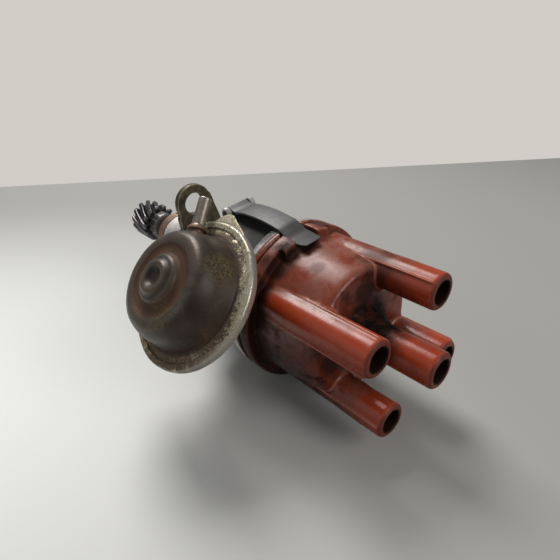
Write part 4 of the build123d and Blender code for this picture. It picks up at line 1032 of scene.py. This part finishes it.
def clipMesh(name, turn):
    pin = Vector(clipShape["pin"])
    angles = [math.radians(step) for step in range(*clipShape["rollTurns"])]
    roll = [pin + Vector((math.cos(angle), math.sin(angle))) * clipShape["roll"] for angle in angles]
    line = roll + throughPoints([roll[-1], *[Vector(p) for p in clipShape["path"]]], 8)[1:]
    out = turned(turn)
    across = turned(turn + 90)
    work = bmesh.new()
    rows = []
    count = len(line)
    for number, point in enumerate(line):
        before = line[max(number - 1, 0)]
        after = line[min(number + 1, count - 1)]
        tangent = (after - before).normalized()
        normal = Vector((-tangent.y, tangent.x))
        share = number / (count - 1)
        half = clipShape["width"] / 2
        thick = clipShape["thick"]
        tip = (share - clipShape["tipFrom"]) / (1 - clipShape["tipFrom"])
        if tip > 0:
            half -= clipShape["tipNarrower"] * tip ** 2
            thick -= clipShape["tipThinner"] * tip
        rows.append([])
        for sideways, lift in ((-half, -1), (half, -1), (half, 1), (-half, 1)):
            spot = point + normal * lift * thick / 2
            rows[-1].append(work.verts.new((alongX * spot.x + out * spot.y + across * sideways) * mm))
    for first, second in zip(rows, rows[1:]):
        for corner in range(4):
            after = (corner + 1) % 4
            work.faces.new((first[corner], first[after], second[after], second[corner]))
    work.faces.new(rows[0])
    work.faces.new(list(reversed(rows[-1])))
    bmesh.ops.recalc_face_normals(work, faces=work.faces)
    mesh = bpy.data.meshes.new(name)
    work.to_mesh(mesh)
    work.free()
    return mesh


for number, turn in enumerate(clipShape["turns"], 1):
    clip = place(clipMesh(f"clip_strip_{number}", turn), f"clip_strip_{number}", ready["clip steel"])
    bevel = clip.modifiers.new("edges", "BEVEL")
    bevel.width = clipShape["bevel"]
    bevel.segments = 3
    bevel.limit_method = "ANGLE"
    bevel.angle_limit = math.radians(50)
    settle(clip)
    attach(clip, f"clip_{number}")
    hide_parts(f"spring_clip_{number}")
print("clips made")

# drive gear: one tooth, repeated round the shaft by a node tree
gearShape = {
    "teeth": 13, "start": -66.0, "width": 20.0, "twist": 42.0, "root": 9.9, "tip": 13.1, "bore": 6.3,
    "hub": 9.5, "hubEnd": -37.05, "hubChamfer": 0.4, "across": 24, "along": 16, "land": 0.19, "foot": 0.46,
    "round": 0.35, "full": 1.1,
}


def ringTree():
    tree = bpy.data.node_groups.new("ring of copies", "GeometryNodeTree")
    tree.interface.new_socket("Geometry", in_out="INPUT", socket_type="NodeSocketGeometry")
    sockets = {
        "count": tree.interface.new_socket("Count", in_out="INPUT", socket_type="NodeSocketInt"),
        "material": tree.interface.new_socket("Material", in_out="INPUT", socket_type="NodeSocketMaterial"),
    }
    tree.interface.new_socket("Geometry", in_out="OUTPUT", socket_type="NodeSocketGeometry")
    kinds = {
        "given": "NodeGroupInput", "points": "GeometryNodePoints", "index": "GeometryNodeInputIndex",
        "share": "ShaderNodeMath", "angle": "ShaderNodeMath", "spin": "ShaderNodeCombineXYZ",
        "turn": "FunctionNodeEulerToRotation", "copies": "GeometryNodeInstanceOnPoints",
        "real": "GeometryNodeRealizeInstances", "welded": "GeometryNodeMergeByDistance",
        "painted": "GeometryNodeSetMaterial", "made": "NodeGroupOutput",
    }
    step = {name: tree.nodes.new(kind) for name, kind in kinds.items()}
    step["share"].operation = "DIVIDE"
    step["angle"].operation = "MULTIPLY"
    step["angle"].inputs[1].default_value = 2 * math.pi
    step["welded"].inputs["Distance"].default_value = 1e-6
    for source, output, target, entry in (
        ("given", "Count", "points", "Count"), ("index", 0, "share", 0), ("given", "Count", "share", 1),
        ("share", 0, "angle", 0), ("angle", 0, "spin", "X"), ("spin", 0, "turn", 0),
        ("points", 0, "copies", "Points"), ("given", "Geometry", "copies", "Instance"),
        ("turn", 0, "copies", "Rotation"),
        ("copies", 0, "real", 0), ("real", 0, "welded", 0), ("welded", 0, "painted", "Geometry"),
        ("given", "Material", "painted", "Material"), ("painted", 0, "made", 0),
    ):
        tree.links.new(step[source].outputs[output], step[target].inputs[entry])
    return tree, sockets


def toothMesh():
    size = gearShape
    rows = []
    end = size["start"] + size["width"]
    full = size["start"] + size["full"]
    step = (size["width"] - 2 * size["full"]) / size["along"]
    hub = size["root"] - size["hub"]
    # place along the shaft, share of the tooth's height, depth below the root
    for x, height, inset in (
        (size["start"], 0.50, 0.5), (size["start"] + size["round"], 0.80, 0.15), (full, 1.0, 0.0),
        *((full + step * part, 1.0, 0.0) for part in range(1, size["along"] + 1)),
        (end - size["round"], 0.80, 0.15), (end, 0.50, 0.5), (end + 0.05, 0.0, hub),
        (size["hubEnd"] - size["hubChamfer"], 0.0, hub), (size["hubEnd"], 0.0, hub + size["hubChamfer"]),
    ):
        row = []
        for part in range(size["across"] + 1):
            share = part / size["across"] - 0.5
            rise = min(1.0, max(0.0, (size["foot"] - abs(share)) / (size["foot"] - size["land"])))
            rise = rise * rise * (3 - 2 * rise)
            radius = size["root"] - inset + (size["tip"] - size["root"]) * rise * height
            along = min(1.0, (x - size["start"]) / size["width"])
            angle = share * 360 / size["teeth"] + size["twist"] * along
            row.append((x, radius, angle))
        rows.append(row)
    inner = [[(x, size["bore"], angle) for x, radius, angle in row] for row in rows]
    work = bmesh.new()
    loops = [
        [work.verts.new((Vector((x, 0, 0)) + turned(angle) * radius) * mm) for x, radius, angle in row]
        for row in [*rows, *reversed(inner)]
    ]
    for number, first in enumerate(loops):
        second = loops[(number + 1) % len(loops)]
        for part in range(size["across"]):
            work.faces.new((first[part], first[part + 1], second[part + 1], second[part]))
    bmesh.ops.recalc_face_normals(work, faces=work.faces)
    probe = work.faces[size["across"] * 4 + size["across"] // 2]
    if probe.normal.dot(Vector((0, *probe.calc_center_median().yz))) < 0:
        bmesh.ops.reverse_faces(work, faces=work.faces)
    mesh = bpy.data.meshes.new("tooth")
    work.to_mesh(mesh)
    work.free()
    return mesh


gear = place(toothMesh(), "skew_gear", ready["oily gear steel"])
ring, sockets = ringTree()
copies = gear.modifiers.new("ring", "NODES")
copies.node_group = ring
copies[sockets["count"].identifier] = gearShape["teeth"]
copies[sockets["material"].identifier] = ready["oily gear steel"]
settle(gear)
for face in gear.data.polygons:
    face.use_smooth = True
gear.data.set_sharp_from_angle(angle=math.radians(50))
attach(gear, "shaft")
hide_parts("drive_gear")
print("gear:", len(gear.data.polygons), "faces")

# hold-down clamp, forged look
clampShape = {"voxel": 0.0003, "rounds": 12, "keep": 0.5, "dents": 0.0002}
clamp = softened(
    "hold_down_clamp", "clamp_fork", ready["clamp plating"],
    clampShape["voxel"], clampShape["rounds"], clampShape["keep"],
)
dent(clamp, clampShape["dents"], 160.0, 5.5)
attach(clamp, "clamp")
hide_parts("hold_down_clamp")

# floor: ends where the wall starts, keeps the shadow, throws little light back up; its colour carries a
# painted reflection, pale round one spot and darker away from it
wallStart, wallEnd = (Vector((*point, room["lowest"])) for point in room["wallLine"])
run = (wallEnd - wallStart).normalized() * 4
forward = Vector((run.y, -run.x, 0))
floorMesh = bpy.data.meshes.new("floor")
corners = [wallStart - run, wallStart - run + forward, wallEnd + run + forward, wallEnd + run]
floorMesh.from_pydata(corners, [], [(0, 1, 2, 3)])
floorPaint, floorTree, floorShader = shader("pale floor")
where, parts = position(floorTree)
paintedReflection = floorTree.nodes.new("ShaderNodeVectorMath")
paintedReflection.operation = "DISTANCE"
floorTree.links.new(where, paintedReflection.inputs[0])
paintedReflection.inputs[1].default_value = (*room["paintedReflectionMiddle"], room["lowest"])
bright = between(floorTree, paintedReflection.outputs["Value"], room["paintedReflectionReach"], 0.0)
tone = blendColour(floorTree, bright, room["floor"], room["paintedReflection"])
rays = floorTree.nodes.new("ShaderNodeLightPath")
direct = larger(floorTree, rays.outputs["Is Camera Ray"], rays.outputs["Is Glossy Ray"])
direct = larger(floorTree, direct, rays.outputs["Is Transmission Ray"])
feed(floorTree, floorShader.inputs["Base Color"], blendColour(floorTree, direct, room["shade"], tone))
floorShader.inputs["Roughness"].default_value = 0.5
floorShader.inputs["Specular IOR Level"].default_value = 0.3
ground = place(floorMesh, "floor", floorPaint, smooth=False)
